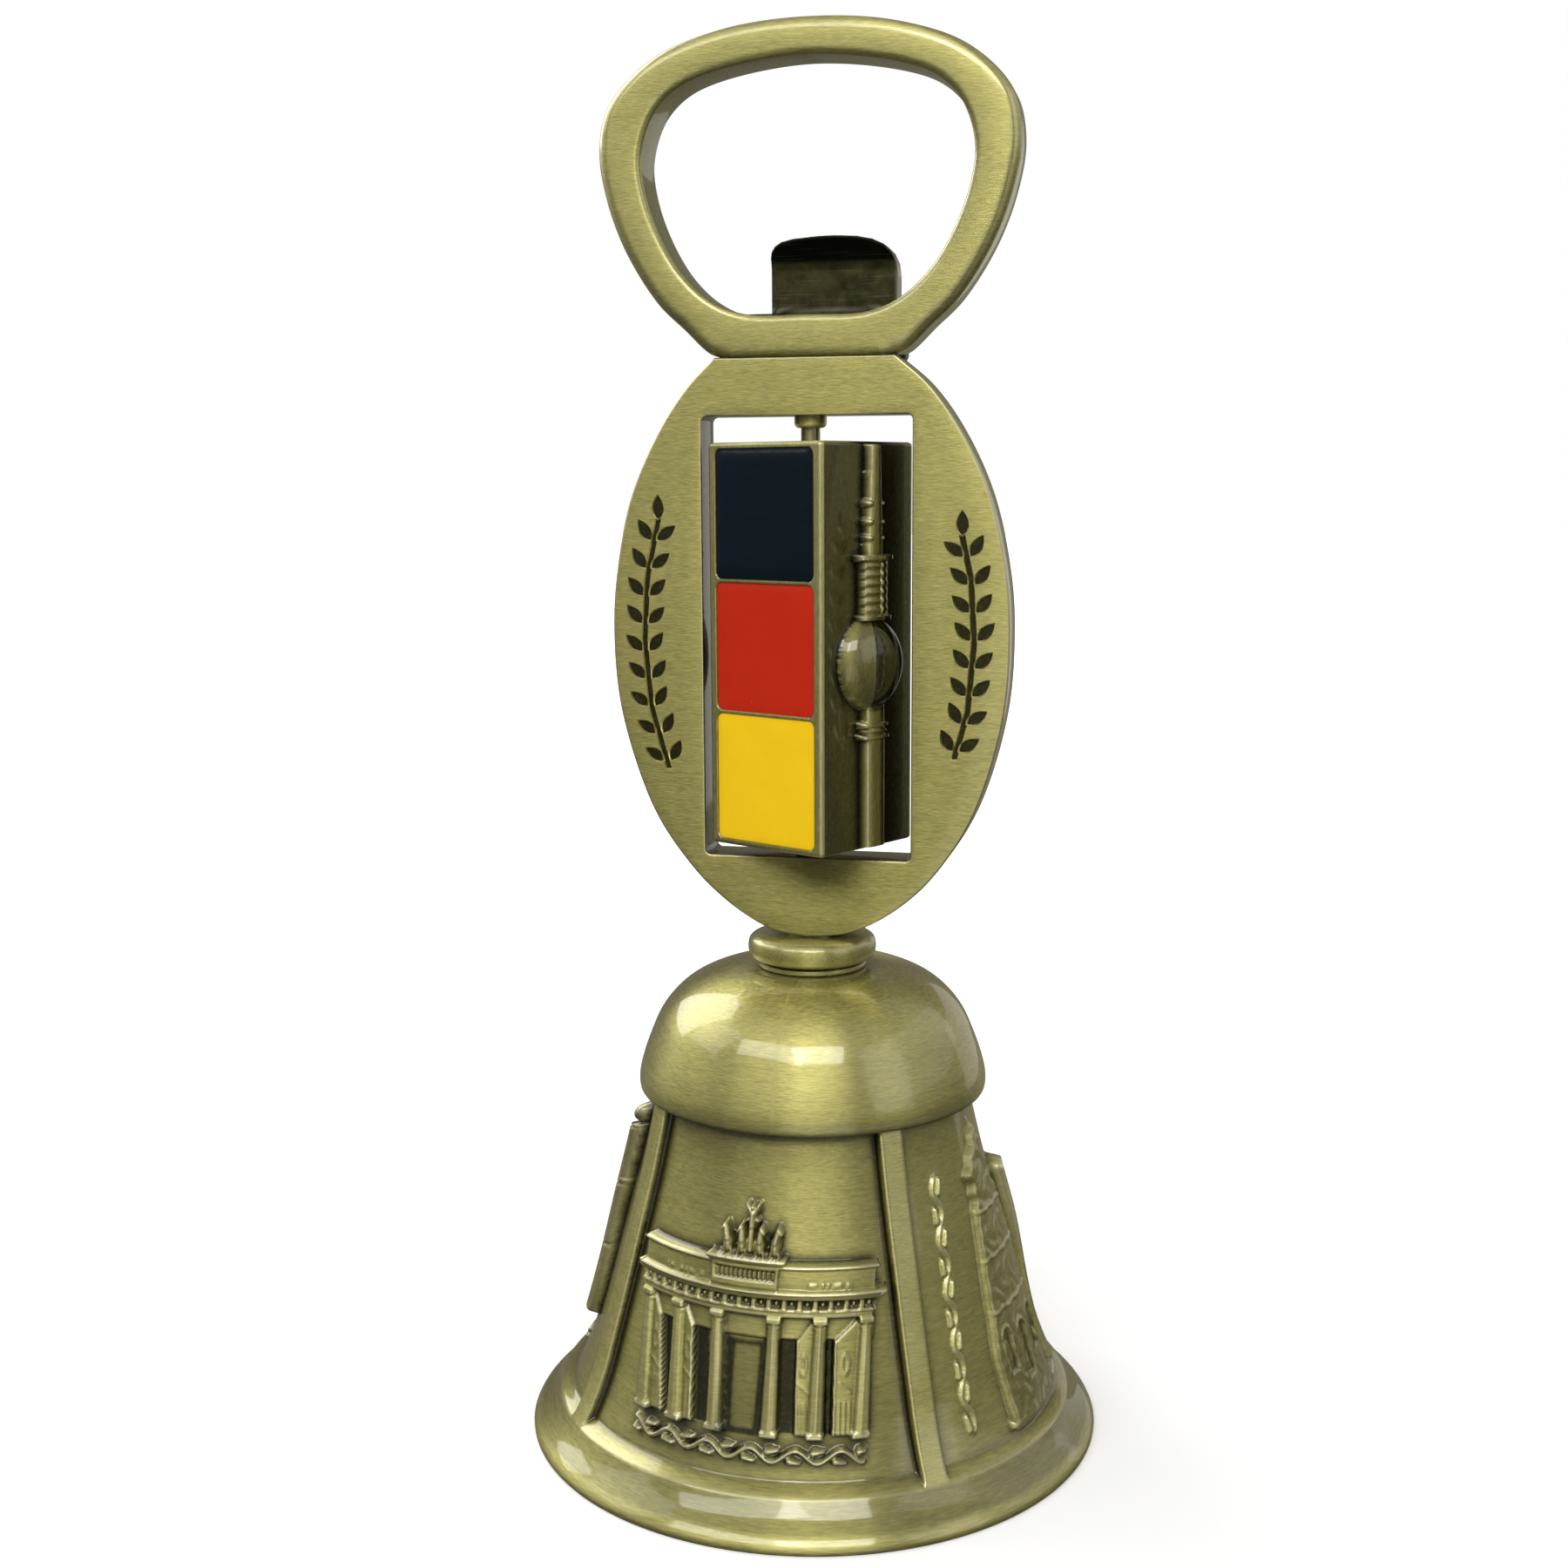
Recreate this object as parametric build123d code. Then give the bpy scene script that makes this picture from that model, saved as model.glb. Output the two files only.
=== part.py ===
from build123d import *
import math
import os

os.makedirs("parts", exist_ok=True)

# Driving dimensions, mm. The origin is the centre of the bell's mouth, +Z runs up the bell's axis,
# and the flat handle stands in the XZ plane with its decorated side facing -Y.
MOUTH_R = 25.0
CROWN_Z = 41.0
RECESS = 0.9
RIB_W = 2.3
PANEL_Z0 = 3.5
PANEL_Z1 = 30.6
BELL_TURN = -7.0
RELIEF = 1.1
GATE_X = 0.7

COLLAR_TOP = 43.85
FRAME_T = 4.2
SEAM_Z = 92.65
WIN_HW = 8.9
WIN_Z0 = 50.8
WIN_Z1 = 87.9

RING_T = 4.8
PLATE_T = 2.0
TONGUE_X0 = -3.8
TONGUE_X1 = 6.9
TONGUE_TOP = 102.5
BEND_Z = 100.2

BLOCK_S = 12.3
BLOCK_Z0 = 52.0
BLOCK_Z1 = 85.7
BLOCK_TURN = -27.7
PIN_R = 0.8
BUSH_R = 1.35
SPIGOT_R = 1.1
RUN_GAP = 0.03
SCREW_R = 1.2
SEAT_GAP = 0.01


def save(shape, node):
    export_step(shape, f"parts/{node}.step")


def turned(shape, angle):
    return Rot(0, 0, angle) * shape


def lathe(points):
    return revolve(make_face(Polyline(points, close=True)), Axis.Z)


def section(points):
    """Points (radius, z) as 3-D points in the XZ plane."""
    return [(r, 0, z) for r, z in points]


def plate(points, y0, y1):
    """A flat polygon in (x, z) given thickness from y0 to y1."""
    face = make_face(Polyline([(x, y0, z) for x, z in points], close=True))
    return extrude(face, amount=y1 - y0, dir=(0, 1, 0))


def bar(x0, x1, z0, z1, y0, y1):
    return Pos((x0 + x1) / 2, (y0 + y1) / 2, (z0 + z1) / 2) * Box(x1 - x0, y1 - y0, z1 - z0)


def rod(r, z0, z1, x=0.0, y=0.0):
    return Pos(x, y, (z0 + z1) / 2) * Cylinder(r, z1 - z0)


# ---------------------------------------------------------------- bell shell
RIB_PROFILE = [
    (24.75, 0.0), (25.0, 0.4), (24.4, 1.3), (23.4, 2.3), (22.55, 3.5), (21.5, 5.5), (20.5, 8.0),
    (19.6, 11.0), (18.45, 15.0), (17.1, 20.0), (15.75, 25.0), (14.45, 30.6),
]
CAP_PROFILE = [
    (14.45, 30.6), (14.95, 30.75), (15.05, 31.6), (14.8, 33.0), (14.1, 35.0), (13.2, 37.0),
    (12.05, 38.5), (10.75, 39.6), (9.2, 40.4), (7.8, 40.85), (6.0, CROWN_Z),
]
INNER_PROFILE = [
    (22.9, 0.0), (20.1, 3.5), (18.2, 8.0), (17.05, 11.0), (15.9, 15.0), (14.5, 20.0), (13.15, 25.0),
    (12.0, 30.0), (11.2, 34.0), (9.6, 36.7), (7.4, 38.3), (5.5, 38.9),
]


def body_face():
    skirt = Spline(section(RIB_PROFILE[1:]))
    lip = Line((24.75, 0, 0), (25.0, 0, 0.4))
    edge = Line((14.45, 0, 30.6), (14.95, 0, 30.75))
    dome = Spline(section(CAP_PROFILE[1:]))
    top = Line((6.0, 0, CROWN_Z), (0, 0, CROWN_Z))
    axis = Line((0, 0, CROWN_Z), (0, 0, 38.9))
    ceiling = Line((0, 0, 38.9), (5.5, 0, 38.9))
    inside = Spline(section(INNER_PROFILE))
    foot = Line((22.9, 0, 0), (24.75, 0, 0))
    return make_face([lip, skirt, edge, dome, top, axis, ceiling, inside, foot])


def recess_r(z, offset):
    """Radius of the recessed panel surface at height z, moved out by offset."""
    pts = RIB_PROFILE[3:]
    for (r0, z0), (r1, z1) in zip(pts, pts[1:]):
        if z0 <= z <= z1:
            return r0 + (r1 - r0) * (z - z0) / (z1 - z0) - RECESS + offset
    return pts[-1][0] - RECESS + offset


def panel_band(inner, outer, z0, z1):
    """A ring of revolution between two offsets from the recessed surface."""
    zs = [z0 + (z1 - z0) * i / 12 for i in range(13)]
    low = Spline([(recess_r(z, inner), 0, z) for z in zs])
    high = Spline([(recess_r(z, outer), 0, z) for z in zs])
    base = Line((recess_r(z0, inner), 0, z0), (recess_r(z0, outer), 0, z0))
    lid = Line((recess_r(z1, inner), 0, z1), (recess_r(z1, outer), 0, z1))
    return revolve(make_face([low, lid, high, base]), Axis.Z)


def gate():
    """A six-column classical gate with a chariot team on its attic."""
    g = GATE_X
    items = [bar(g - 10.4, g + 10.4, 18.5, 20.4, -30, -10), bar(g - 11.3, g + 11.3, 17.9, 18.6, -30, -10)]
    items.append(bar(g - 10.4, g + 10.4, 16.3, 18.0, -30, -10))
    for top, foot in ((-9.2, -8.6), (-5.9, -5.4), (-2.1, -1.6), (2.75, 3.05), (6.4, 6.75), (9.9, 10.2)):
        shaft = [(foot - 0.8, 7.0), (foot + 0.8, 7.0), (top + 0.55, 16.4), (top - 0.55, 16.4)]
        items.append(plate(shaft, -30, -10))
    items.append(bar(g - 10.6, g + 10.6, 5.1, 6.9, -30, -10))
    items.append(bar(g - 3.2, g + 3.2, 20.2, 20.9, -30, -10))
    team = [(-2.9, 20.8), (2.4, 20.8), (2.5, 22.4), (1.9, 23.2), (0.9, 22.9), (0.2, 24.9)]
    team += [(-1.0, 24.9), (-0.9, 23.0), (-2.3, 23.3), (-3.0, 22.0)]
    team = [(g + x, z) for x, z in team]
    items.append(plate(team, -30, -10))
    return items


def church():
    """A broken-topped old tower beside a slender new belfry, and a strip of leaves."""
    old = [(-6.8, 4.4), (3.4, 4.4), (3.4, 17.0), (2.6, 20.5), (1.6, 23.8), (0.6, 25.8), (-0.5, 28.3)]
    old += [(-1.6, 27.0), (-3.4, 24.8), (-3.3, 23.5), (-4.3, 19.5), (-5.3, 15.0), (-6.4, 10.2)]
    strip = [(-8.2, 24.6), (-6.9, 24.6), (-10.2, 6.6), (-11.6, 6.6)]
    return [plate(old, -30, -9), bar(3.9, 6.4, 7.0, 26.2, -30, -9), plate(strip, -30, -9)]


def column():
    """A tall column with a ball, standing near one edge of its panel, beside a low pavilion."""
    shaft = [(5.8, 10.0), (9.2, 10.0), (7.9, 18.0), (6.8, 26.6), (5.2, 26.6), (5.6, 18.0)]
    items = [plate(shaft, -30, -9), Pos(6.0, -20, 27.7) * Rot(90, 0, 0) * Cylinder(0.9, 22)]
    items += [bar(-8.4, 2.4, 7.0, 13.0, -30, -9), bar(-9.2, 3.2, 12.8, 14.0, -30, -9)]
    items.append(bar(-9.6, 3.6, 5.1, 7.0, -30, -9))
    return items


def dome():
    """A long domed hall on a colonnade."""
    items = [bar(-10.2, 10.2, 7.0, 13.6, -30, -10), bar(-10.8, 10.8, 5.1, 7.2, -30, -10)]
    items += [bar(-3.4, 3.4, 13.4, 16.4, -30, -10), bar(-0.5, 0.5, 21.0, 24.0, -30, -10)]
    cap = [(3.4 * math.cos(math.pi * i / 12), 16.2 + 5.2 * math.sin(math.pi * i / 12)) for i in range(13)]
    items.append(plate(cap, -30, -10))
    return items


full = revolve(body_face(), Axis.Z)
spokes = Box(80, RIB_W, 80) + Box(RIB_W, 80, 80)
panels = panel_band(0.0, 4.0, PANEL_Z0, PANEL_Z1) - Rot(0, 0, 45) * spokes
bell = full - panels
bell -= rod(SCREW_R + 0.05, 38.0, 42.0)
motifs = ((gate(), RELIEF), (church(), 0.8), (dome(), RELIEF), (column(), 1.0))
for place, (motif, height) in enumerate(motifs):
    proud = panel_band(-0.3, height, PANEL_Z0 + 0.3, PANEL_Z1 - 0.2)
    for item in motif:
        piece = turned(item, 90 * place) & proud
        bell += piece
bell = turned(bell, BELL_TURN)
save(bell, "bell_shell")

# ------------------------------------------------ fixings inside the crown
washer = rod(3.6, 38.1, 38.9) - rod(SCREW_R + 0.05, 38.0, 39.0)
save(washer, "crown_washer")

EYE_Z = 35.0
EYE_R = 1.9
EYE_WIRE = 0.65
eye = rod(SCREW_R, 36.9, 47.6) + rod(2.3, 37.2, 38.1)
eye += Pos(0, 0, EYE_Z) * Rot(90, 0, 0) * Torus(EYE_R, EYE_WIRE)
save(eye, "eye_screw")

# the wire link hangs in the eye and the clapper hangs in the link
LINK_WIRE = 0.5
LINK_BEND = 1.5
LINK_TOP = EYE_Z - EYE_R + EYE_WIRE + LINK_WIRE + RUN_GAP
LINK_LEN = 6.0
HANG_WIRE = 0.55
HANG_R = 1.7
LINK_LOW = LINK_TOP - LINK_LEN
HANG_TOP = LINK_LOW + LINK_WIRE + HANG_WIRE + RUN_GAP
BALL_R = 3.4
BALL_Z = 8.0

upper_c = LINK_TOP - LINK_BEND
lower_c = LINK_LOW + LINK_BEND
bend = Rot(0, 90, 0) * Torus(LINK_BEND, LINK_WIRE)
link = (Pos(0, 0, upper_c) * bend) & bar(-3, 3, upper_c, upper_c + 4, -3, 3)
link += (Pos(0, 0, lower_c) * bend) & bar(-3, 3, lower_c - 4, lower_c, -3, 3)
for side in (-1, 1):
    link += rod(LINK_WIRE, lower_c, upper_c, y=side * LINK_BEND)
save(link, "clapper_link")

clapper = Pos(0, 0, HANG_TOP - HANG_R) * Rot(90, 0, 0) * Torus(HANG_R, HANG_WIRE)
stem_top = HANG_TOP - 2 * HANG_R + 0.1
clapper += rod(0.8, BALL_Z, stem_top)
clapper += Pos(0, 0, BALL_Z) * Sphere(BALL_R)
save(clapper, "clapper")

# ------------------------------------------------------------- neck collar
collar_points = [
    (SCREW_R + 0.05, CROWN_Z), (4.55, CROWN_Z), (4.7, 41.2), (4.7, 41.5), (4.5, 41.65), (5.1, 41.75),
    (5.42, 42.05), (5.52, 42.6), (5.52, 43.1), (5.36, 43.6), (4.95, COLLAR_TOP), (SCREW_R + 0.05, COLLAR_TOP),
]
save(lathe(section(collar_points)), "neck_collar")

# ------------------------------------------------------------ spinner frame
FRAME_RIGHT = [
    (7.45, SEAM_Z), (10.15, 90.3), (12.75, 86.7), (15.25, 81.3), (16.75, 74.5), (17.05, 69.3), (16.65, 63.5),
    (15.05, 57.1), (13.4, 53.3), (10.9, 49.6), (9.0, 47.6), (6.3, 45.6), (3.4, 44.3), (0.0, 43.85),
]
FRAME_LEFT = [
    (7.75, SEAM_Z), (10.1, 90.3), (12.6, 86.7), (15.1, 81.3), (16.55, 74.5), (16.85, 69.3), (16.35, 63.5),
    (14.55, 57.1), (12.8, 53.3), (10.1, 49.6), (8.2, 47.65), (5.65, 45.7), (3.0, 44.35), (0.0, 43.85),
]
YF = FRAME_T / 2


def frame_body():
    right = [(x, -YF, z) for x, z in FRAME_RIGHT]
    left = [(-x, -YF, z) for x, z in reversed(FRAME_LEFT[:-1])]
    outline = [Spline(right + left), Line(left[-1], right[0])]
    body = extrude(make_face(outline), amount=FRAME_T, dir=(0, 1, 0))
    rims = [e for e in body.edges() if abs(abs(e.center().Y) - YF) < 0.01 and e.length > 20]
    return chamfer(rims, 0.2)


def edge_x(z):
    """Half-width of the frame's outline at height z, from its straight runs between points."""
    for (x1, z1), (x0, z0) in zip(FRAME_LEFT, FRAME_LEFT[1:]):
        if z0 <= z <= z1:
            return x0 + (x1 - x0) * (z - z0) / (z1 - z0)
    return 0.0


def leaf(x, z, lean, length, width):
    """A pointed leaf growing from (x, z), leaning by the given angle from straight up."""
    a = math.radians(lean)
    ux, uz = math.sin(a), math.cos(a)
    points = [(0, 0), (0.5, 0.5), (1, 0), (0.5, -0.5)]
    return [(x + s * length * ux + t * width * uz, z + s * length * uz - t * width * ux) for s, t in points]


def laurel(side, z0, pairs, pitch):
    """Outlines of one laurel sprig that follows the frame's edge: a stem, paired leaves and a tip leaf."""
    def spine(z):
        return side * (edge_x(z) - SPRIG_IN)

    z1 = z0 + pairs * pitch
    zs = [z0 + (z1 - z0) * i / 8 for i in range(9)]
    stem = [(spine(z) - 0.18, z) for z in zs] + [(spine(z) + 0.18, z) for z in reversed(zs)]
    shapes = [stem]
    for i in range(pairs):
        z = z0 + 0.4 + i * pitch
        lean = math.degrees(math.atan2(spine(z + 1) - spine(z - 1), 2))
        shapes.append(leaf(spine(z) + 0.05, z, lean + 42, 2.15, 0.9))
        shapes.append(leaf(spine(z) - 0.05, z, lean - 42, 2.15, 0.9))
    shapes.append(leaf(spine(z1), z1 - 0.3, 0, 2.1, 0.9))
    return shapes


SPRIG_IN = 2.75
ENGRAVE = 0.3
frame = frame_body()
frame += bar(-1.9, 1.9, COLLAR_TOP, 46.0, -YF, YF)
frame += bar(-4.0, 4.0, SEAM_Z - 0.5, SEAM_Z + 1.9, -1.0, 1.0)
window = bar(-WIN_HW, WIN_HW, WIN_Z0, WIN_Z1, -4, 4)
frame -= fillet(window.edges().filter_by(Axis.Y), 0.5)
frame -= rod(SCREW_R + SEAT_GAP, 43.0, 47.8)
frame -= rod(SPIGOT_R + SEAT_GAP, 48.7, 51.0)
frame -= rod(SPIGOT_R + SEAT_GAP, 87.0, 90.8)
for outline in laurel(-1, 58.2, 9, 2.35) + laurel(1, 59.6, 8, 2.3):
    frame -= plate(outline, -YF - 1, -YF + ENGRAVE)
save(frame, "spinner_frame")

# ------------------------------------------------------------ pivot bushes
upper_bush = rod(BUSH_R, 86.9, WIN_Z1) + rod(SPIGOT_R, WIN_Z1, 90.8)
upper_bush -= rod(PIN_R + RUN_GAP, 86.0, 90.6)
save(upper_bush, "upper_pivot_bush")
lower_bush = rod(BUSH_R, WIN_Z0, 51.7) + rod(SPIGOT_R, 48.7, WIN_Z0)
lower_bush -= rod(PIN_R + RUN_GAP, 49.0, 52.0)
save(lower_bush, "lower_pivot_bush")
save(rod(PIN_R, BLOCK_Z1 - 2.2, 90.4), "upper_pivot_pin")
save(rod(PIN_R, 49.2, BLOCK_Z0 + 2.2), "lower_pivot_pin")

# ------------------------------------------------------------ spinner block
HALF = BLOCK_S / 2
POCKET = 0.4
FIELD_HW = 5.3
FIELD_GAP = 0.28
FIELD_TOP = BLOCK_Z1 - 0.5
FIELD_H = (BLOCK_Z1 - BLOCK_Z0 - 1.0 - 2 * FIELD_GAP) / 3


def fields():
    """The three stacked fields of one flag face, top first, as (z0, z1)."""
    tops = [FIELD_TOP - i * (FIELD_H + FIELD_GAP) for i in range(3)]
    return [(top - FIELD_H, top) for top in tops]


def field(z0, z1, y0, y1):
    body = bar(-FIELD_HW, FIELD_HW, z0, z1, y0, y1)
    return fillet(body.edges().filter_by(Axis.Y), 0.6)


def mast():
    """A round broadcast mast with a ball, standing on the +X side of an unturned block."""
    y0, y1 = -HALF - 0.8, -HALF + 0.2
    items = [bar(-1.0, 1.0, 52.4, 64.0, y0, y1), bar(-1.6, 1.6, 62.4, 62.9, y0 - 0.2, y1)]
    items += [bar(-1.5, 1.5, 61.3, 61.8, y0 - 0.2, y1), bar(-1.6, 1.6, 71.5, 76.0, y0, y1)]
    items += [bar(-2.1, 2.1, 76.0, 76.5, y0 - 0.2, y1), bar(-1.9, 1.9, 71.1, 71.6, y0 - 0.2, y1)]
    items.append(plate([(-0.85, 76.4), (0.85, 76.4), (0.4, 84.9), (-0.4, 84.9)], y0, y1))
    ball = Pos(0, -HALF + 1.83, 67.6) * Sphere(4.13)
    items.append(ball & bar(-6, 6, 60, 75, -HALF - 3, -HALF + 0.3))
    return items


block = bar(-HALF, HALF, BLOCK_Z0, BLOCK_Z1, -HALF, HALF)
block = fillet(block.edges().filter_by(Axis.Z), 0.45)
block = chamfer(block.edges().group_by(Axis.Z)[-1] + block.edges().group_by(Axis.Z)[0], 0.25)
block -= rod(PIN_R, BLOCK_Z1 - 2.2, BLOCK_Z1 + 1)
block -= rod(PIN_R, BLOCK_Z0 - 1, BLOCK_Z0 + 2.2)
for side in (90, 270):
    for item in mast():
        block += turned(item, side)
for face_name, side in (("front", 0), ("back", 180)):
    for colour, (z0, z1) in zip(("black", "red", "gold"), fields()):
        block -= turned(field(z0, z1, -HALF - 1, -HALF + POCKET), side)
        enamel = turned(field(z0, z1, -HALF + 0.04, -HALF + POCKET), side + BLOCK_TURN)
        save(enamel, f"enamel_{colour}_{face_name}")
save(turned(block, BLOCK_TURN), "spinner_block")

# ------------------------------------------------------------- opener ring
RING_OUTER = [
    (7.55, SEAM_Z), (10.35, 94.95), (12.6, 97.1), (15.35, 101.4), (16.95, 105.7), (17.5, 109.5), (16.7, 113.0),
    (13.15, 116.5), (7.35, 118.6), (0.0, 119.3),
]
RING_INNER = [
    (0.0, 96.0), (5.2, 96.15), (8.0, 97.3), (10.3, 99.4), (12.15, 102.4), (13.4, 105.8), (13.75, 108.9),
    (12.75, 112.1), (10.95, 114.0), (8.0, 115.25), (0.0, 116.3),
]
YR = RING_T / 2


def ring_body():
    right = [(x, -YR, z) for x, z in RING_OUTER]
    left = [(-x, -YR, z) for x, z in reversed(RING_OUTER[:-1])]
    outer = extrude(make_face([Spline(right + left), Line(left[-1], right[0])]), amount=RING_T, dir=(0, 1, 0))
    loop = [(x, -YR - 1, z) for x, z in RING_INNER]
    loop += [(-x, -YR - 1, z) for x, z in reversed(RING_INNER[1:-1])]
    hole = extrude(make_face(Spline(loop, periodic=True)), amount=RING_T + 2, dir=(0, 1, 0))
    body = outer - hole
    rims = [e for e in body.edges() if abs(abs(e.center().Y) - YR) < 0.01 and e.length > 20]
    return fillet(rims, 1.0)


BASE_X0 = -7.0
BASE_X1 = 7.6
BASE_Z0 = 92.2
RIVET_XS = (-5.3, 5.9)
RIVET_Z = 94.4
RIVET_R = 0.9
ring = ring_body()
ring -= bar(-4.0, 4.0, SEAM_Z - 0.5, SEAM_Z + 1.9, -1.0, 1.0)
for x in RIVET_XS:
    ring -= Pos(x, YR, RIVET_Z) * Rot(90, 0, 0) * Cylinder(RIVET_R + SEAT_GAP, 2.2)
save(ring, "opener_ring")

# ------------------------------------------------- opener plate and rivets
hook = [
    (YR, BASE_Z0), (YR + PLATE_T, BASE_Z0), (YR + PLATE_T, BEND_Z), (YR + PLATE_T - 1.0, TONGUE_TOP + 1),
    (YR - 1.0, TONGUE_TOP + 1), (YR, BEND_Z),
]
side_face = make_face(Polyline([(TONGUE_X0, y, z) for y, z in hook], close=True))
tongue = extrude(side_face, amount=TONGUE_X1 - TONGUE_X0, dir=(1, 0, 0))
arch = [
    (TONGUE_X0, BASE_Z0), (TONGUE_X0, 100.6), (-3.3, 101.6), (-2.2, 102.15), (1.2, TONGUE_TOP),
    (4.0, 102.25), (5.7, 101.7), (6.6, 100.6), (TONGUE_X1, 99.0), (TONGUE_X1, BASE_Z0),
]
tongue &= plate(arch, YR - 3, YR + PLATE_T + 3)
base = bar(BASE_X0, BASE_X1, BASE_Z0, 96.5, YR, YR + PLATE_T)
base = fillet(base.edges().filter_by(Axis.Y), 0.8)
opener = tongue + base
for x in RIVET_XS:
    opener -= Pos(x, YR + 1, RIVET_Z) * Rot(90, 0, 0) * Cylinder(RIVET_R + SEAT_GAP, 6)
save(opener, "opener_plate")

for label, x in zip(("left", "right"), RIVET_XS):
    y0 = YR - 1.0
    y1 = YR + PLATE_T
    rivet = Pos(x, (y0 + y1) / 2, RIVET_Z) * Rot(90, 0, 0) * Cylinder(RIVET_R, y1 - y0)
    head = (Pos(x, y1 - 0.9, RIVET_Z) * Sphere(1.75)) & bar(x - 3, x + 3, 90, 98, y1, y1 + 3)
    save(rivet + head, f"opener_rivet_{label}")
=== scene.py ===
import bpy
import math
import numpy as np
from mathutils import Matrix, Vector


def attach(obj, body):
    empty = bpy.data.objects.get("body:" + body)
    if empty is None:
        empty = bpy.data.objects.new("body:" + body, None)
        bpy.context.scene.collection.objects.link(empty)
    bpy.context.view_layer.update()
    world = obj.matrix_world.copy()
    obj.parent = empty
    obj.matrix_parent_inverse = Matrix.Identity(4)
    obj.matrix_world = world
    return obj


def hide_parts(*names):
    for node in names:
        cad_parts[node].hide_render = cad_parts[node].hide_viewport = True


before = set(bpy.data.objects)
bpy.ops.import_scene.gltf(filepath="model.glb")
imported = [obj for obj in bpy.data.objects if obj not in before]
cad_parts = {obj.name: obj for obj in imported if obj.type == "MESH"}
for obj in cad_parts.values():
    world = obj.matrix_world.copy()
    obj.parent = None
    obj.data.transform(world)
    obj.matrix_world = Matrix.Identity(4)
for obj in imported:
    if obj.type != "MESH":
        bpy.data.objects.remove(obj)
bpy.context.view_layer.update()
MM = 0.001

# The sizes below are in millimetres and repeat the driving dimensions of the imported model.
BELL_TURN = math.radians(-7.0)
RECESS = 0.9
CROWN_Z = 41.0
COLLAR_TOP = 43.85
SEAM_Z = 92.65
WIN_HW = 8.9
WIN_Z0, WIN_Z1 = 50.8, 87.9
FRAME_Y = 2.1
RING_Y = 2.4
PLATE_T = 2.0
BLOCK_HALF = 6.15
BLOCK_Z0, BLOCK_Z1 = 52.0, 85.7
BLOCK_TURN = math.radians(-27.7)
PIN_R = 0.8
BUSH_BORE = 0.83
ROOT = "bell_and_handle"
SPINNER = "spinner"


# ------------------------------------------------------------------ helpers
def smooth(t):
    t = np.clip(t, 0.0, 1.0)
    return t * t * (3.0 - 2.0 * t)


def add_attribute(mesh, key, data):
    """A float or a vector at each point of a mesh."""
    data = np.asarray(data, dtype=np.float32)
    kind, field = ("FLOAT_VECTOR", "vector") if data.ndim == 2 else ("FLOAT", "value")
    mesh.attributes.new(key, kind, "POINT").data.foreach_set(field, data.ravel())


def finish_mesh(name, verts, faces, slot, body, replaces, attrs=None, sharp=None):
    """A smooth-shaded piece from vertices in mm, with its point attributes, riding on a body."""
    mesh = bpy.data.meshes.new(name)
    faces = [tuple(int(i) for i in f) for f in faces]
    mesh.from_pydata((np.asarray(verts, dtype=np.float64) * MM).tolist(), [], faces)
    mesh.validate(verbose=False)
    mesh.polygons.foreach_set("use_smooth", [True] * len(mesh.polygons))
    for key, data in (attrs or {}).items():
        add_attribute(mesh, key, data)
    if sharp is not None:
        mesh.set_sharp_from_angle(angle=math.radians(sharp))
    mesh.update()
    obj = bpy.data.objects.new(name, mesh)
    bpy.context.scene.collection.objects.link(obj)
    obj.data.materials.append(material_for[slot])
    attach(obj, body)
    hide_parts(*replaces)
    return obj


def brass_piece(name, verts, faces, body, node, attrs=None, sharp=None):
    """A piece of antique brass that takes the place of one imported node."""
    return finish_mesh(name, verts, faces, "antique_brass", body, [node], attrs, sharp)


def bake_modifiers(obj):
    """Puts the result of an object's modifiers into its mesh."""
    bpy.context.view_layer.update()
    graph = bpy.context.evaluated_depsgraph_get()
    new = bpy.data.meshes.new_from_object(obj.evaluated_get(graph))
    obj.modifiers.clear()
    obj.data = new


def grid_faces(rows, cols, close_cols=False, close_rows=False):
    r = np.arange(rows if close_rows else rows - 1)
    c = np.arange(cols if close_cols else cols - 1)
    rr, cc = np.meshgrid(r, c, indexing="ij")
    r1, c1 = (rr + 1) % rows, (cc + 1) % cols
    return np.stack([rr * cols + cc, rr * cols + c1, r1 * cols + c1, r1 * cols + cc], -1).reshape(-1, 4)


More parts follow.
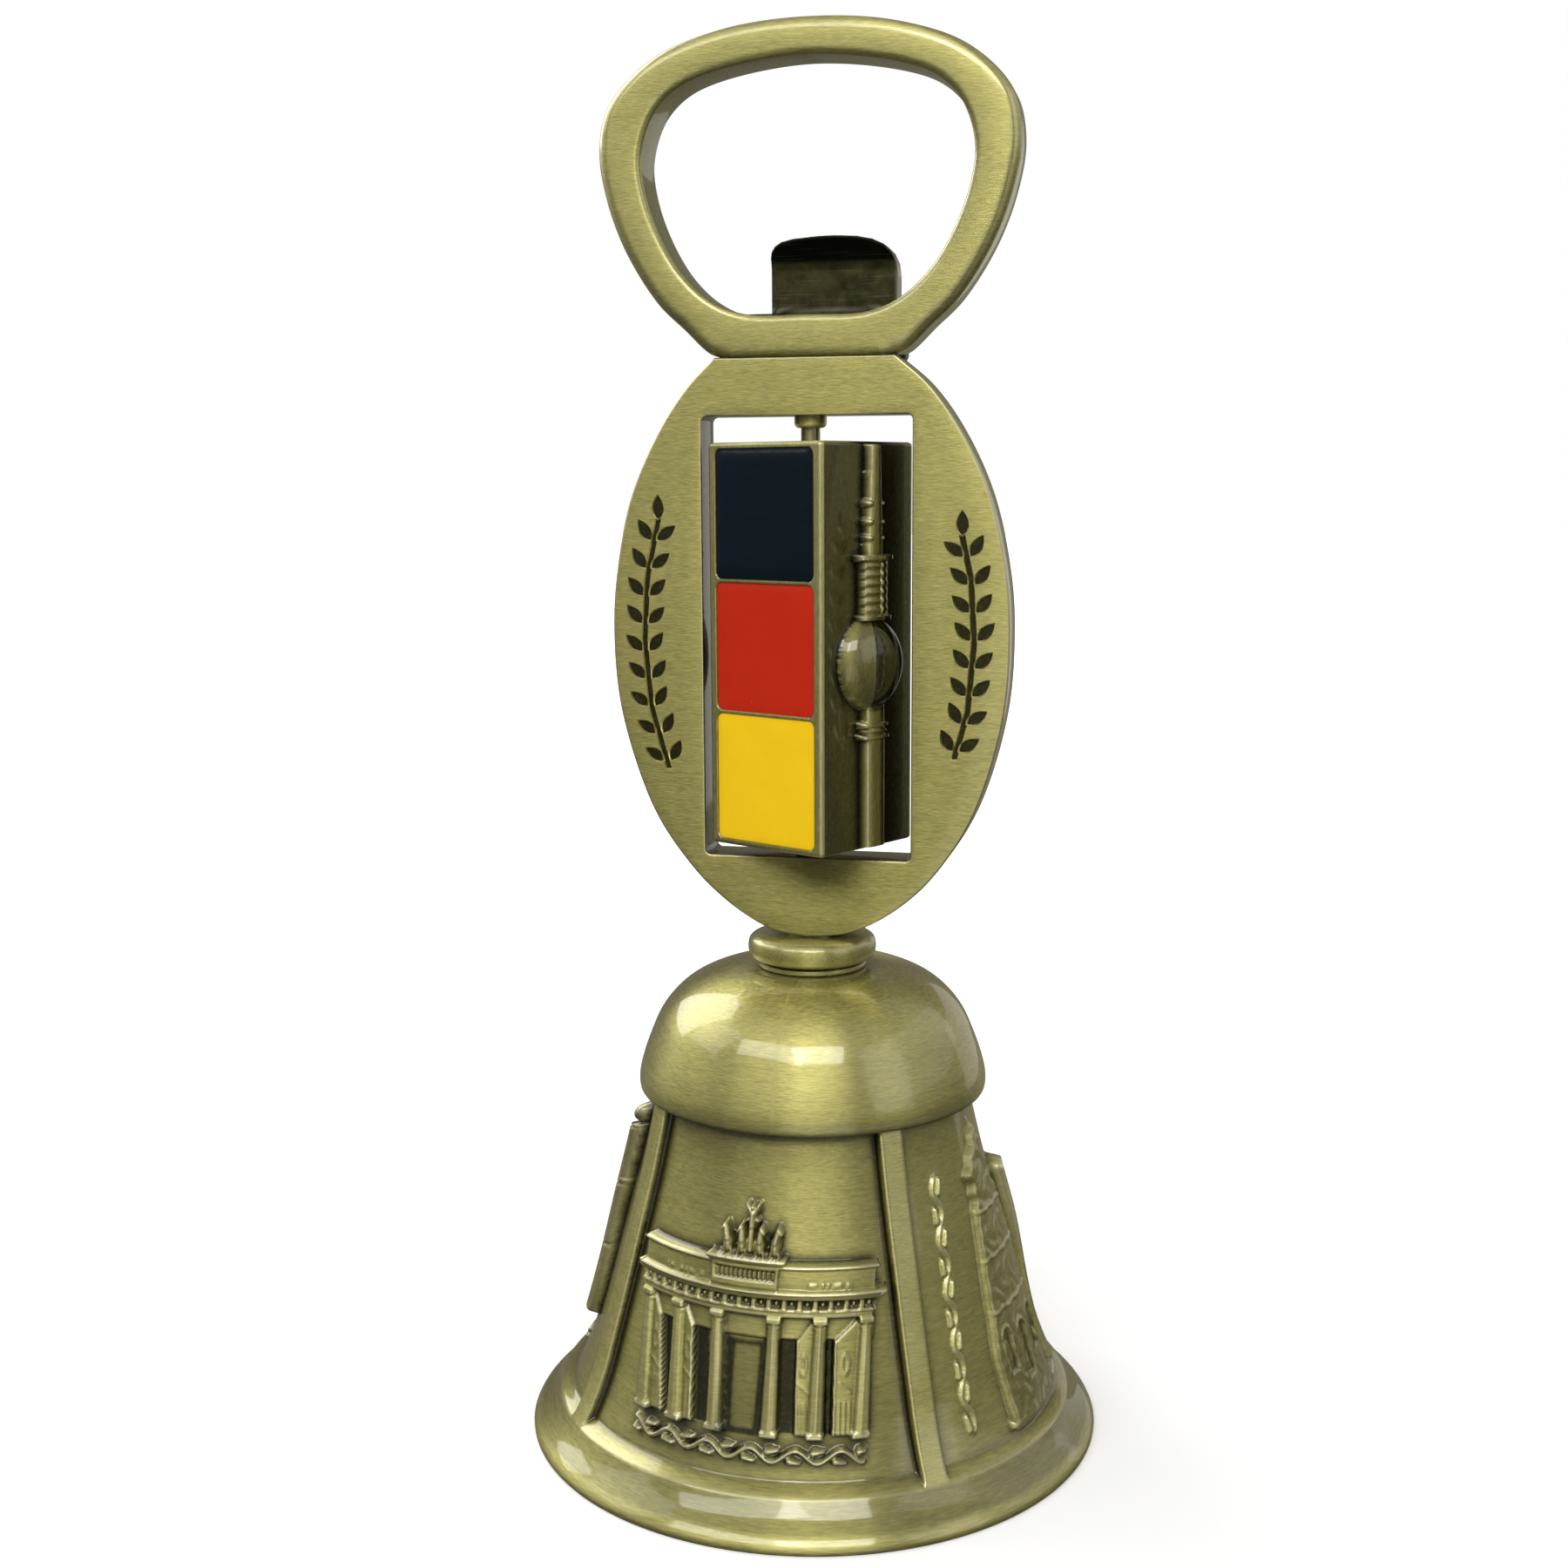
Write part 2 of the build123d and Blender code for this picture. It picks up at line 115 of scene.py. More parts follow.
def spline(points, n, closed=False):
    """A centripetal Catmull-Rom curve through points, sampled n times, evenly by length."""
    p = np.asarray(points, dtype=float)
    if closed:
        p = np.vstack([p[-1], p, p[0], p[1]])
    else:
        p = np.vstack([2 * p[0] - p[1], p, 2 * p[-1] - p[-2]])
    out = []
    for a, b, c, d in zip(p, p[1:], p[2:], p[3:]):
        t0 = 0.0
        t1 = t0 + max(np.linalg.norm(b - a), 1e-6) ** 0.5
        t2 = t1 + max(np.linalg.norm(c - b), 1e-6) ** 0.5
        t3 = t2 + max(np.linalg.norm(d - c), 1e-6) ** 0.5
        t = np.linspace(t1, t2, 40, endpoint=False)[:, None]
        a1 = (t1 - t) / (t1 - t0) * a + (t - t0) / (t1 - t0) * b
        a2 = (t2 - t) / (t2 - t1) * b + (t - t1) / (t2 - t1) * c
        a3 = (t3 - t) / (t3 - t2) * c + (t - t2) / (t3 - t2) * d
        b1 = (t2 - t) / (t2 - t0) * a1 + (t - t0) / (t2 - t0) * a2
        b2 = (t3 - t) / (t3 - t1) * a2 + (t - t1) / (t3 - t1) * a3
        out.append((t2 - t) / (t2 - t1) * b1 + (t - t1) / (t2 - t1) * b2)
    out.append(p[-2][None] if not closed else p[1][None])
    dense = np.vstack(out)
    length = np.concatenate([[0], np.cumsum(np.linalg.norm(np.diff(dense, axis=0), axis=1))])
    want = np.linspace(0, length[-1], n)
    return np.stack([np.interp(want, length, dense[:, k]) for k in range(dense.shape[1])], 1)


def blur(height, sigma):
    """A separable Gaussian blur of a grid, sigma in cells, edges held."""
    reach = int(3 * sigma) + 1
    kernel = np.exp(-0.5 * (np.arange(-reach, reach + 1) / sigma) ** 2)
    kernel /= kernel.sum()
    for axis in (0, 1):
        padded = np.pad(height, [(reach, reach) if a == axis else (0, 0) for a in (0, 1)], mode="edge")
        height = sum(
            k * np.take(padded, range(i, i + height.shape[axis]), axis=axis) for i, k in enumerate(kernel)
        )
    return height


def turn(verts, angle):
    c, s = math.cos(angle), math.sin(angle)
    out = np.array(verts, dtype=float)
    out[:, 0], out[:, 1] = verts[:, 0] * c - verts[:, 1] * s, verts[:, 0] * s + verts[:, 1] * c
    return out


def lathe(name, profile, slot, replaces, body=ROOT, n=128, place=None, patina_and_shade=None, edge=None, sharp=45):
    """A surface of revolution about Z from (r, z) points; place is a 4 x 4 matrix in mm."""
    profile = np.asarray(profile, dtype=float)
    ang = np.linspace(0, 2 * math.pi, n, endpoint=False)
    r, z = profile[:, 0][:, None], profile[:, 1][:, None]
    x, y = r * np.sin(ang)[None], -r * np.cos(ang)[None]
    verts = np.stack([x, y, np.broadcast_to(z, x.shape)], -1).reshape(-1, 3)
    brush = np.stack([np.broadcast_to(ang[None] * 14, x.shape), np.broadcast_to(z, x.shape), 0 * x + r], -1)
    faces = grid_faces(len(profile), n, close_cols=True)
    rows = len(profile)
    attrs = {"brush": brush.reshape(-1, 3)}
    attrs["patina_and_shade"] = np.repeat(np.zeros(rows) if patina_and_shade is None else np.asarray(patina_and_shade, float), n)
    attrs["edge"] = np.repeat(np.zeros(rows) if edge is None else np.asarray(edge, float), n)
    if place is not None:
        verts = verts @ np.array(place.to_3x3()).T + np.array(place.translation)
    return finish_mesh(name, verts, faces, slot, body, replaces, attrs, sharp)


def tube(name, path, radius, slot, replaces, body, sides=20):
    """A round wire along a closed path of points in mm."""
    path = np.asarray(path, dtype=float)
    tangent = np.roll(path, -1, 0) - np.roll(path, 1, 0)
    tangent /= np.linalg.norm(tangent, axis=1)[:, None]
    ref = np.cross(path[1] - path[0], path[len(path) // 3] - path[0])
    ref /= np.linalg.norm(ref)
    side = np.cross(tangent, ref)
    ang = np.linspace(0, 2 * math.pi, sides, endpoint=False)
    ring = np.cos(ang)[None, :, None] * side[:, None] + np.sin(ang)[None, :, None] * ref[None, None]
    verts = (path[:, None] + radius * ring).reshape(-1, 3)
    run = np.concatenate([[0], np.cumsum(np.linalg.norm(np.diff(path, axis=0), axis=1))])
    brush = np.stack([np.repeat(run, sides), np.tile(ang * radius, len(path)), np.zeros(len(verts))], 1)
    attrs = {"brush": brush, "patina_and_shade": np.zeros(len(verts)), "edge": np.zeros(len(verts))}
    faces = grid_faces(len(path), sides, close_cols=True, close_rows=True)
    return finish_mesh(name, verts, faces, slot, body, replaces, attrs)


# ---------------------------------------------------------------- materials
def node_tree(name):
    mat = bpy.data.materials.new(name)
    mat.use_nodes = True
    tree = mat.node_tree
    tree.nodes.clear()
    out = tree.nodes.new("ShaderNodeOutputMaterial")
    shader = tree.nodes.new("ShaderNodeBsdfPrincipled")
    tree.links.new(shader.outputs["BSDF"], out.inputs["Surface"])
    return mat, tree, shader


def attribute(tree, name, output="Fac"):
    node = tree.nodes.new("ShaderNodeAttribute")
    node.attribute_name = name
    return node.outputs[output]


def noise(tree, vector, scale, detail=3.0, rough=0.55, stretch=(1, 1, 1)):
    mapping = tree.nodes.new("ShaderNodeMapping")
    mapping.inputs["Scale"].default_value = stretch
    tree.links.new(vector, mapping.inputs["Vector"])
    node = tree.nodes.new("ShaderNodeTexNoise")
    node.inputs["Scale"].default_value = scale
    node.inputs["Detail"].default_value = detail
    node.inputs["Roughness"].default_value = rough
    tree.links.new(mapping.outputs["Vector"], node.inputs["Vector"])
    return node.outputs["Fac"]


def feed(tree, value, socket):
    """A link, a colour or a plain number into a socket."""
    if isinstance(value, (int, float)):
        socket.default_value = value
    elif isinstance(value, tuple):
        socket.default_value = (*value, 1.0)
    else:
        tree.links.new(value, socket)


def math_node(tree, op, a, b=0.0, c=None, clamp=False):
    node = tree.nodes.new("ShaderNodeMath")
    node.operation = op
    node.use_clamp = clamp
    for i, value in enumerate((a, b) if c is None else (a, b, c)):
        feed(tree, value, node.inputs[i])
    return node.outputs[0]


def mix_colour(tree, fac, a, b, mode="MIX"):
    node = tree.nodes.new("ShaderNodeMix")
    node.data_type = "RGBA"
    node.blend_type = mode
    sockets = [s for s in node.inputs if s.type == "RGBA"]
    for value, socket in ((fac, node.inputs[0]), (a, sockets[0]), (b, sockets[1])):
        feed(tree, value, socket)
    return [s for s in node.outputs if s.type == "RGBA"][0]


def add_bump(tree, shader, height, strength, distance):
    """Fine relief in the surface, distance in metres."""
    bump = tree.nodes.new("ShaderNodeBump")
    bump.inputs["Strength"].default_value = strength
    bump.inputs["Distance"].default_value = distance
    tree.links.new(height, bump.inputs["Height"])
    tree.links.new(bump.outputs["Normal"], shader.inputs["Normal"])


def brass(name, clean, dark, rough=0.44, brush_amount=1.0):
    """Brushed antique brass under clear lacquer: worn edges and painted highlights are bright, recesses hold
    dark patina, and some surfaces carry painted shade.
    """
    mat, tree, shader = node_tree(name)
    vec = attribute(tree, "brush", "Vector")
    patina_and_shade = attribute(tree, "patina_and_shade")
    edge = attribute(tree, "edge")
    fine = noise(tree, vec, 1.0, 2.0, 0.6, (1.3, 11.0, 2.0))
    mid = noise(tree, vec, 1.0, 3.0, 0.6, (0.35, 2.6, 1.0))
    cloud = noise(tree, vec, 0.16, 3.0, 0.6)
    speck = noise(tree, vec, 2.4, 4.0, 0.7)
    streak = math_node(tree, "MULTIPLY_ADD", fine, 0.72, math_node(tree, "MULTIPLY", mid, 0.28))
    tone = math_node(tree, "MULTIPLY_ADD", streak, 1.50 * brush_amount, 1.0 - 0.75 * brush_amount)
    tone = math_node(tree, "MULTIPLY", tone, math_node(tree, "MULTIPLY_ADD", cloud, 0.20, 0.90))
    grey = tree.nodes.new("ShaderNodeCombineColor")
    for i in range(3):
        tree.links.new(tone, grey.inputs[i])
    base = mix_colour(tree, 1.0, clean, grey.outputs[0], "MULTIPLY")
    # Worn edges and painted highlights are mixed toward a pale brass.
    worn_and_highlit = mix_colour(tree, math_node(tree, "MULTIPLY", edge, 0.75), base, (0.78, 0.73, 0.42))
    # Patina and painted shade are mixed toward the dark colour.
    broken = math_node(tree, "ADD", patina_and_shade, math_node(tree, "MULTIPLY_ADD", speck, 0.36, -0.18))
    broken = math_node(tree, "MULTIPLY", broken, math_node(tree, "GREATER_THAN", patina_and_shade, 0.002), clamp=True)
    colour = mix_colour(tree, broken, worn_and_highlit, dark)
    tree.links.new(colour, shader.inputs["Base Color"])
    shader.inputs["Metallic"].default_value = 1.0
    shader.inputs["Coat Weight"].default_value = 1.0
    shader.inputs["Coat Roughness"].default_value = 0.07
    shader.inputs["Coat IOR"].default_value = 1.6
    shader.inputs["Anisotropic"].default_value = 0.84
    upright = tree.nodes.new("ShaderNodeCombineXYZ")
    upright.inputs["Z"].default_value = 1.0
    tree.links.new(upright.outputs[0], shader.inputs["Tangent"])
    r = math_node(tree, "MULTIPLY_ADD", streak, 0.14, rough - 0.07)
    r = math_node(tree, "MULTIPLY_ADD", broken, 0.16, r)
    r = math_node(tree, "MULTIPLY_ADD", edge, -0.08, r, clamp=True)
    tree.links.new(r, shader.inputs["Roughness"])
    add_bump(tree, shader, math_node(tree, "MULTIPLY_ADD", speck, 0.25, streak), 0.38 * brush_amount, 0.00006)
    return mat


def enamel(name, colour, deep):
    """Soft enamel: an even pigment under a smooth gloss, with a few pin-holes and a slow ripple."""
    mat, tree, shader = node_tree(name)
    vec = attribute(tree, "brush", "Vector")
    cloud = noise(tree, vec, 0.35, 3.0, 0.5)
    pores = noise(tree, vec, 3.1, 1.0, 0.5)
    pit = math_node(tree, "MULTIPLY", math_node(tree, "SUBTRACT", pores, 0.80), 14.0, clamp=True)
    base = mix_colour(tree, cloud, colour, deep)
    base = mix_colour(tree, math_node(tree, "MULTIPLY", pit, 0.5), base, (0.25, 0.22, 0.18))
    tree.links.new(base, shader.inputs["Base Color"])
    shader.inputs["Metallic"].default_value = 0.0
    shader.inputs["Roughness"].default_value = 0.14
    shader.inputs["IOR"].default_value = 1.36
    ripple = noise(tree, vec, 0.9, 2.0, 0.5)
    add_bump(tree, shader, math_node(tree, "MULTIPLY_ADD", pit, -0.8, ripple), 0.25, 0.00012)
    return mat


def steel(name, light, dark, rough, stain):
    """Steel with stains, fine scratches, bare bright edges and painted highlights, and a near-black patina
    that also carries painted shade.
    """
    mat, tree, shader = node_tree(name)
    vec = attribute(tree, "brush", "Vector")
    edge = attribute(tree, "edge")
    patina_and_shade = attribute(tree, "patina_and_shade")
    blotch = noise(tree, vec, 0.7, 5.0, 0.65)
    grain = noise(tree, vec, 1.0, 3.0, 0.6, (5.0, 0.7, 1.0))
    scratch = noise(tree, vec, 1.0, 0.0, 0.5, (0.25, 14.0, 1.0))
    line = math_node(tree, "MULTIPLY", math_node(tree, "SUBTRACT", scratch, 0.70), 9.0, clamp=True)
    spread = math_node(tree, "SUBTRACT", blotch, 0.5)
    stained = math_node(tree, "MULTIPLY_ADD", spread, 2.4 * stain, 0.5, clamp=True)
    base = mix_colour(tree, stained, dark, light)
    base = mix_colour(tree, math_node(tree, "MULTIPLY", grain, 0.30), base, dark)
    # Near-black: patina, and painted shade where the lip is darkened.
    base = mix_colour(tree, patina_and_shade, base, (0.006, 0.007, 0.004))
    # Bright: bare edges and scratches, and painted highlights on the lip.
    bright = math_node(tree, "MAXIMUM", edge, math_node(tree, "MULTIPLY", line, 0.10 * stain), clamp=True)
    base = mix_colour(tree, bright, base, (0.62, 0.60, 0.50))
    tree.links.new(base, shader.inputs["Base Color"])
    shader.inputs["Metallic"].default_value = 1.0
    tree.links.new(math_node(tree, "MULTIPLY_ADD", blotch, 0.22, rough - 0.11), shader.inputs["Roughness"])
    add_bump(tree, shader, math_node(tree, "ADD", grain, blotch), 0.3, 0.00005)
    return mat


# The dark of patina in hollows, also used for painted shade.
PATINA_AND_SHADE = (0.030, 0.026, 0.004)
material_for = {
    "antique_brass": brass("antique_brass", (0.50, 0.460, 0.150), PATINA_AND_SHADE),
    "clapper_brass": brass("clapper_brass", (0.56, 0.48, 0.18), PATINA_AND_SHADE, 0.36, 0.5),
    "pin_brass": brass("pin_brass", (0.26, 0.235, 0.11), PATINA_AND_SHADE, 0.45, 0.6),
    "plated_steel": steel("plated_steel", (0.56, 0.56, 0.54), (0.34, 0.34, 0.32), 0.30, 0.3),
    "burnished_steel": steel("burnished_steel", (0.115, 0.105, 0.045), (0.045, 0.042, 0.018), 0.36, 1.0),
    "enamel_black": enamel("enamel_black", (0.0022, 0.0058, 0.0088), (0.0016, 0.0042, 0.0066)),
    "enamel_red": enamel("enamel_red", (0.365, 0.0150, 0.0022), (0.325, 0.012, 0.0018)),
    "enamel_gold": enamel("enamel_gold", (0.66, 0.425, 0.0035), (0.61, 0.375, 0.003)),
}

# --------------------------------------------------------------- bell shell
RIB_PROFILE = np.array([
    (23.3, 0.0), (24.5, 0.0), (24.84, 0.06), (24.98, 0.24), (25.0, 0.5), (24.82, 0.86), (24.4, 1.35),
    (23.4, 2.3), (22.55, 3.5), (21.5, 5.5), (20.5, 8.0), (19.6, 11.0), (18.45, 15.0), (17.1, 20.0),
    (15.75, 25.0), (14.45, 30.6), (14.2, 31.6),
])
CAP_PROFILE = [
    (13.9, 30.7), (14.6, 30.48), (14.95, 30.5), (15.06, 30.7), (15.1, 31.6), (14.8, 33.0), (14.1, 35.0),
    (13.2, 37.0), (12.05, 38.5), (10.75, 39.6), (9.2, 40.4), (7.8, 40.82), (6.0, 40.99), (4.6, CROWN_Z),
    (1.25, CROWN_Z),
]
INNER_PROFILE = [
    (23.3, 0.0), (23.05, 0.03), (22.9, 0.25), (20.1, 3.5), (18.2, 8.0), (17.05, 11.0), (15.9, 15.0),
    (14.5, 20.0), (13.15, 25.0), (12.0, 30.0), (11.2, 34.0), (9.6, 36.7), (7.4, 38.3), (5.5, 38.9),
    (1.25, 38.9),
]


def band(v, lo, hi, soft=0.12):
    return smooth((v - lo) / soft + 0.5) * smooth((hi - v) / soft + 0.5)


def rect(x, z, x0, x1, z0, z1, soft=0.12):
    return band(x, x0, x1, soft) * band(z, z0, z1, soft)


def round_top(d, power=2):
    """A rounded section: 1 in the middle and 0 where d reaches 1."""
    return np.sqrt(np.clip(1 - d**power, 0, 1))


def blob(x, z, cx, cz, rx, rz):
    return round_top(np.hypot((x - cx) / rx, (z - cz) / rz))


def limb(x, z, x0, z0, x1, z1, r0, r1):
    """A rounded, tapering ridge from one point to another."""
    dx, dz = x1 - x0, z1 - z0
    t = np.clip(((x - x0) * dx + (z - z0) * dz) / (dx * dx + dz * dz + 1e-9), 0, 1)
    return round_top(np.hypot(x - x0 - t * dx, z - z0 - t * dz) / (r0 + (r1 - r0) * t))


def ridge(x, z, cz, rx, rz, w):
    """An oval raised line of half-width w."""
    return round_top(np.abs(np.hypot(x / rx, (z - cz) / rz) - 1) * min(rx, rz) / w)


def inside_polygon(x, z, points):
    """Signed distance to a polygon, positive inside."""
    inside = np.zeros(x.shape, dtype=bool)
    best = np.full(x.shape, 1e9)
    for (x0, z0), (x1, z1) in zip(points, points[1:] + points[:1]):
        dx, dz = x1 - x0, z1 - z0
        t = np.clip(((x - x0) * dx + (z - z0) * dz) / (dx * dx + dz * dz), 0, 1)
        best = np.minimum(best, np.hypot(x - x0 - t * dx, z - z0 - t * dz))
        crosses = (z0 > z) != (z1 > z)
        slope = dx / (dz if abs(dz) > 1e-9 else 1e-9)
        inside ^= crosses & (x < (z - z0) * slope + x0)
    return np.where(inside, best, -best)


def poly(x, z, points, soft=0.14):
    return smooth(inside_polygon(x, z, points) / soft + 0.5)


def stack(base, *layers):
    for layer in layers:
        base = np.maximum(base, layer)
    return base


def slabs(x, z, *rows):
    """Flat raised bars; each row is a height, x from and to, z from and to, and maybe an edge width."""
    return stack(0.0, *(row[0] * rect(x, z, *row[1:]) for row in rows))


VINE_PITCH = 1.9
VINE_RISE = 0.42


def vine_row(u, v, half_length):
    """A raised ornament strip: a waving stem with a leaf in each bend, u along the strip and v across it."""
    phase = math.pi * u / VINE_PITCH
    steep = VINE_RISE * math.pi / VINE_PITCH * np.cos(phase)
    stem = 0.46 * round_top(np.abs(v - VINE_RISE * np.sin(phase)) / np.sqrt(1 + steep**2) / 0.21)
    bend = np.floor(u / VINE_PITCH)
    c = (bend + 0.5) * VINE_PITCH
    side = np.where(bend % 2 == 0, 1.0, -1.0)
    leaf = 0.50 * limb(u, v, c - 0.46, -0.28 * side, c + 0.46, -0.42 * side, 0.32, 0.14)
    return stack(stem, leaf) * smooth((half_length - np.abs(u)) / 0.3)


GATE_COLUMNS = ((-9.61, -9.0), (-5.99, -5.46), (-2.13, -1.6), (2.78, 3.08), (6.56, 6.88), (10.34, 10.6))
GATE_FLOOR = 7.6
GATE_PIERS = (
    [(-9.5, 16.4), (-9.1, 16.4), (-7.97, 14.6), (-6.82, 7.6), (-9.0, 7.6)],
    [(-5.8, 16.4), (-5.38, 16.4), (-4.36, 14.6), (-3.73, 7.6), (-5.4, 7.6)],
    [(6.45, 16.4), (6.03, 16.4), (4.72, 14.6), (5.16, 7.6), (6.8, 7.6)],
    [(10.25, 16.4), (9.83, 16.4), (7.82, 14.6), (8.23, 7.6), (10.5, 7.6)],
)
GATE_OPENINGS = (
    [(-8.1, 14.75), (-7.0, 14.75), (-6.1, 7.6), (-6.82, 7.6)],
    [(-4.45, 14.75), (-3.15, 14.75), (-2.4, 7.6), (-3.73, 7.6)],
    [(3.25, 14.75), (4.75, 14.75), (5.16, 7.6), (3.85, 7.6)],
    [(6.9, 14.75), (7.85, 14.75), (8.23, 7.6), (7.37, 7.6)],
)


def gate_pier(x, z, points):
    """A side wall seen askew, with an oval, a bar and a fluted base: its outline and its detail."""
    wall = poly(x, z, points, 0.20)
    _, (x_inner, _), (x_top, _), (x_low, _), (x_in, _) = points
    edge_at = x_low + (x_top - x_low) * np.clip((z - GATE_FLOOR) / 7.0, 0, 1)
    inner_at = x_in + (x_inner - x_in) * np.clip((z - GATE_FLOOR) / 8.8, 0, 1)
    mid = 0.5 * (edge_at + inner_at) + 0.12 * np.sign(edge_at - inner_at)
    flutes = 0.5 + 0.5 * np.cos((x - mid) * 2 * math.pi / 0.42)
    detail = 0.07 * ridge(x - mid, z, 12.9, 0.26, 0.70, 0.10)
    detail += 0.06 * limb(x - mid, z, -0.45, 11.5, 0.45, 10.8, 0.13, 0.13)
    detail += 0.07 * flutes * smooth((10.3 - z) / 0.3) + 0.10 * smooth((0.22 - np.abs(x - edge_at)) / 0.12)
    return wall, wall * detail


def gate_column(x, z, head, foot):
    """A fluted, tapering column with a base and a capital."""
    up = np.clip((z - GATE_FLOOR) / 8.6, 0, 1)
    w = 0.80 - 0.22 * up
    off = x - foot - (head - foot) * up
    d = np.abs(off) / w
    flute = 0.03 * np.cos(off / w * 9.0) * (d < 0.9)
    column = round_top(d, 3) * band(z, 7.5, 16.4, 0.1) * (0.98 + flute)
    for height, z0, z1, wider, soft in ((1.0, 7.45, 7.95, 0.06, 0.12), (1.05, 15.95, 16.45, 0.13, 0.12),
                                        (0.9, 15.6, 15.75, 0.07, 0.1)):
        column = stack(column, height * band(z, z0, z1, soft) * smooth((w + wider - np.abs(off)) / 0.14))
    return column


def horse_team(q, z, base):
    """Four horses abreast and a winged driver behind them."""
    h = 0.50 * rect(q, z, -2.7, 2.7, base - 0.1, base + 0.45, 0.4)
    for cx in (-2.05, -0.76, 0.78, 2.08):
        lean = 0.22 * (cx / 2.0)
        out = math.copysign(0.28, cx)
        h = stack(h, 0.95 * blob(q, z, cx, base + 0.85, 0.52, 0.92),
                  1.05 * limb(q, z, cx, base + 1.2, cx + lean, base + 2.2, 0.42, 0.27),
                  1.08 * limb(q, z, cx + lean, base + 2.25, cx + lean + out, base + 1.85, 0.25, 0.16))
        for s in (-1, 1):
            h = stack(h, 0.80 * limb(q, z, cx + s * 0.26, base + 0.6, cx + s * 0.38, base + 0.05, 0.19, 0.13))
    h = stack(h, 0.95 * limb(q, z, 0.0, base + 0.6, 0.0, base + 2.0, 0.40, 0.30),
              0.98 * limb(q, z, 0.0, base + 2.3, 0.0, base + 3.4, 0.33, 0.25),
              0.95 * blob(q, z, 0, base + 3.75, 0.27, 0.31))
    for s in (-1, 1):
        h = stack(h, 0.85 * limb(q, z, s * 0.1, base + 3.2, s * 0.52, base + 4.0, 0.25, 0.16),
                  0.75 * limb(q, z, s * 0.1, base + 3.0, s * 0.45, base + 2.7, 0.18, 0.14))
    return h


def gate_relief(x, z):
    """A six-column classical gate with a team of horses on its attic; returns height and patina."""
    g = x - 0.7
    left = -11.2
    h = slabs(g, z, (0.34, left, 10.5, 14.6, 16.6))
    for points in GATE_PIERS:
        wall, detail = gate_pier(x, z, points)
        h = stack(h, 0.60 * wall) + detail
    dark = stack(0.0, *(poly(x, z, points, 0.16) for points in GATE_OPENINGS))
    doorway = 0.85 * rect(x, z, -1.35, 2.35, 7.2, 14.2, 0.5) - 0.55 * rect(x, z, -0.55, 1.75, 7.6, 13.9, 0.5)
    dark = stack(dark, doorway)
    for head, foot in GATE_COLUMNS:
        h = stack(h, gate_column(x, z, head, foot))
    h = stack(h, slabs(g, z, (0.84, left, 10.15, 16.4, 17.95), (0.95, left - 0.1, 10.5, 16.85, 17.02, 0.08)))
    for i in range(17):
        c = -10.55 + 1.27 * i
        hole = rect(g, z, c - 0.40, c + 0.40, 17.08, 17.82, 0.07)
        h += hole * (0.34 * rect(g, z, c - 0.17, c + 0.17, 17.28, 17.64, 0.14) - 0.42)
        dark = stack(dark, 0.45 * hole)
    cornice = (1.0 + 0.35 * smooth((z - 17.9) / 0.5)) * rect(g, z, left - 0.1, 10.5, 17.88, 18.52, 0.1)
    flared = g - np.sign(g) * 0.55 * (z - 17.9)
    h = stack(h, cornice, slabs(flared, z, (1.15, left - 0.35, 10.95, 17.88, 18.5, 0.1)))
    h = stack(h, slabs(g, z, (0.84, left + 0.05, 10.2, 18.4, 20.3),
                       (1.02, left - 0.1, 10.35, 20.02, 20.36, 0.1),
                       (1.12, left - 0.2, 10.45, 20.2, 20.4, 0.08)))
    crumbs = 0.5 + 0.5 * np.sin(9.1 * g + 2.0 * np.sin(3.1 * g)) * np.cos(7.3 * z)
    h += 0.12 * crumbs * (rect(g, z, -8.2, -4.4, 18.6, 19.1, 0.3) + rect(g, z, 4.6, 8.2, 18.6, 19.1, 0.3))
    p = g + 0.66
    h = stack(h, slabs(p, z, (1.12, -2.9, 2.9, 18.5, 20.45), (1.32, -3.25, 3.25, 20.38, 20.72, 0.1),
                       (1.40, -3.4, 3.4, 20.6, 20.85, 0.08)))
    plaque = rect(p, z, -2.55, 2.55, 19.18, 19.98, 0.08)
    marks = smooth((0.10 - np.abs((p + 0.2) % 0.4 - 0.2)) / 0.08) * band(z, 19.28, 19.88, 0.08)
    h += plaque * (0.20 * marks - 0.25)
    dark = stack(dark, 0.45 * plaque, 0.22 * rect(g, z, -11.2, 11.0, 4.95, 7.2, 0.9))
    h = stack(h, horse_team(g + 0.42, z, 20.8), vine_row(g, z - 6.02, 10.8))
    return h, dark


CHURCH_OUTLINE = [
    (-6.9, 4.4), (3.3, 4.4), (3.2, 15.6), (2.7, 19.8), (1.8, 22.4), (1.0, 24.6), (0.2, 27.2), (-0.5, 28.4),
    (-1.6, 27.0), (-2.3, 26.2), (-3.5, 24.8), (-3.3, 23.5), (-4.0, 21.0), (-4.3, 19.5), (-4.8, 17.8),
    (-5.3, 15.0), (-5.9, 12.5), (-6.4, 10.2), (-6.6, 7.0),
]


def arch(x, z, x0, x1, z0, z1, rise):
    """A doorway shape with a rounded head."""
    head = blob(x, z, (x0 + x1) / 2, z1 - 0.1, (x1 - x0) / 2, rise)
    return smooth(stack(rect(x, z, x0, x1, z0, z1), head) / 0.4)


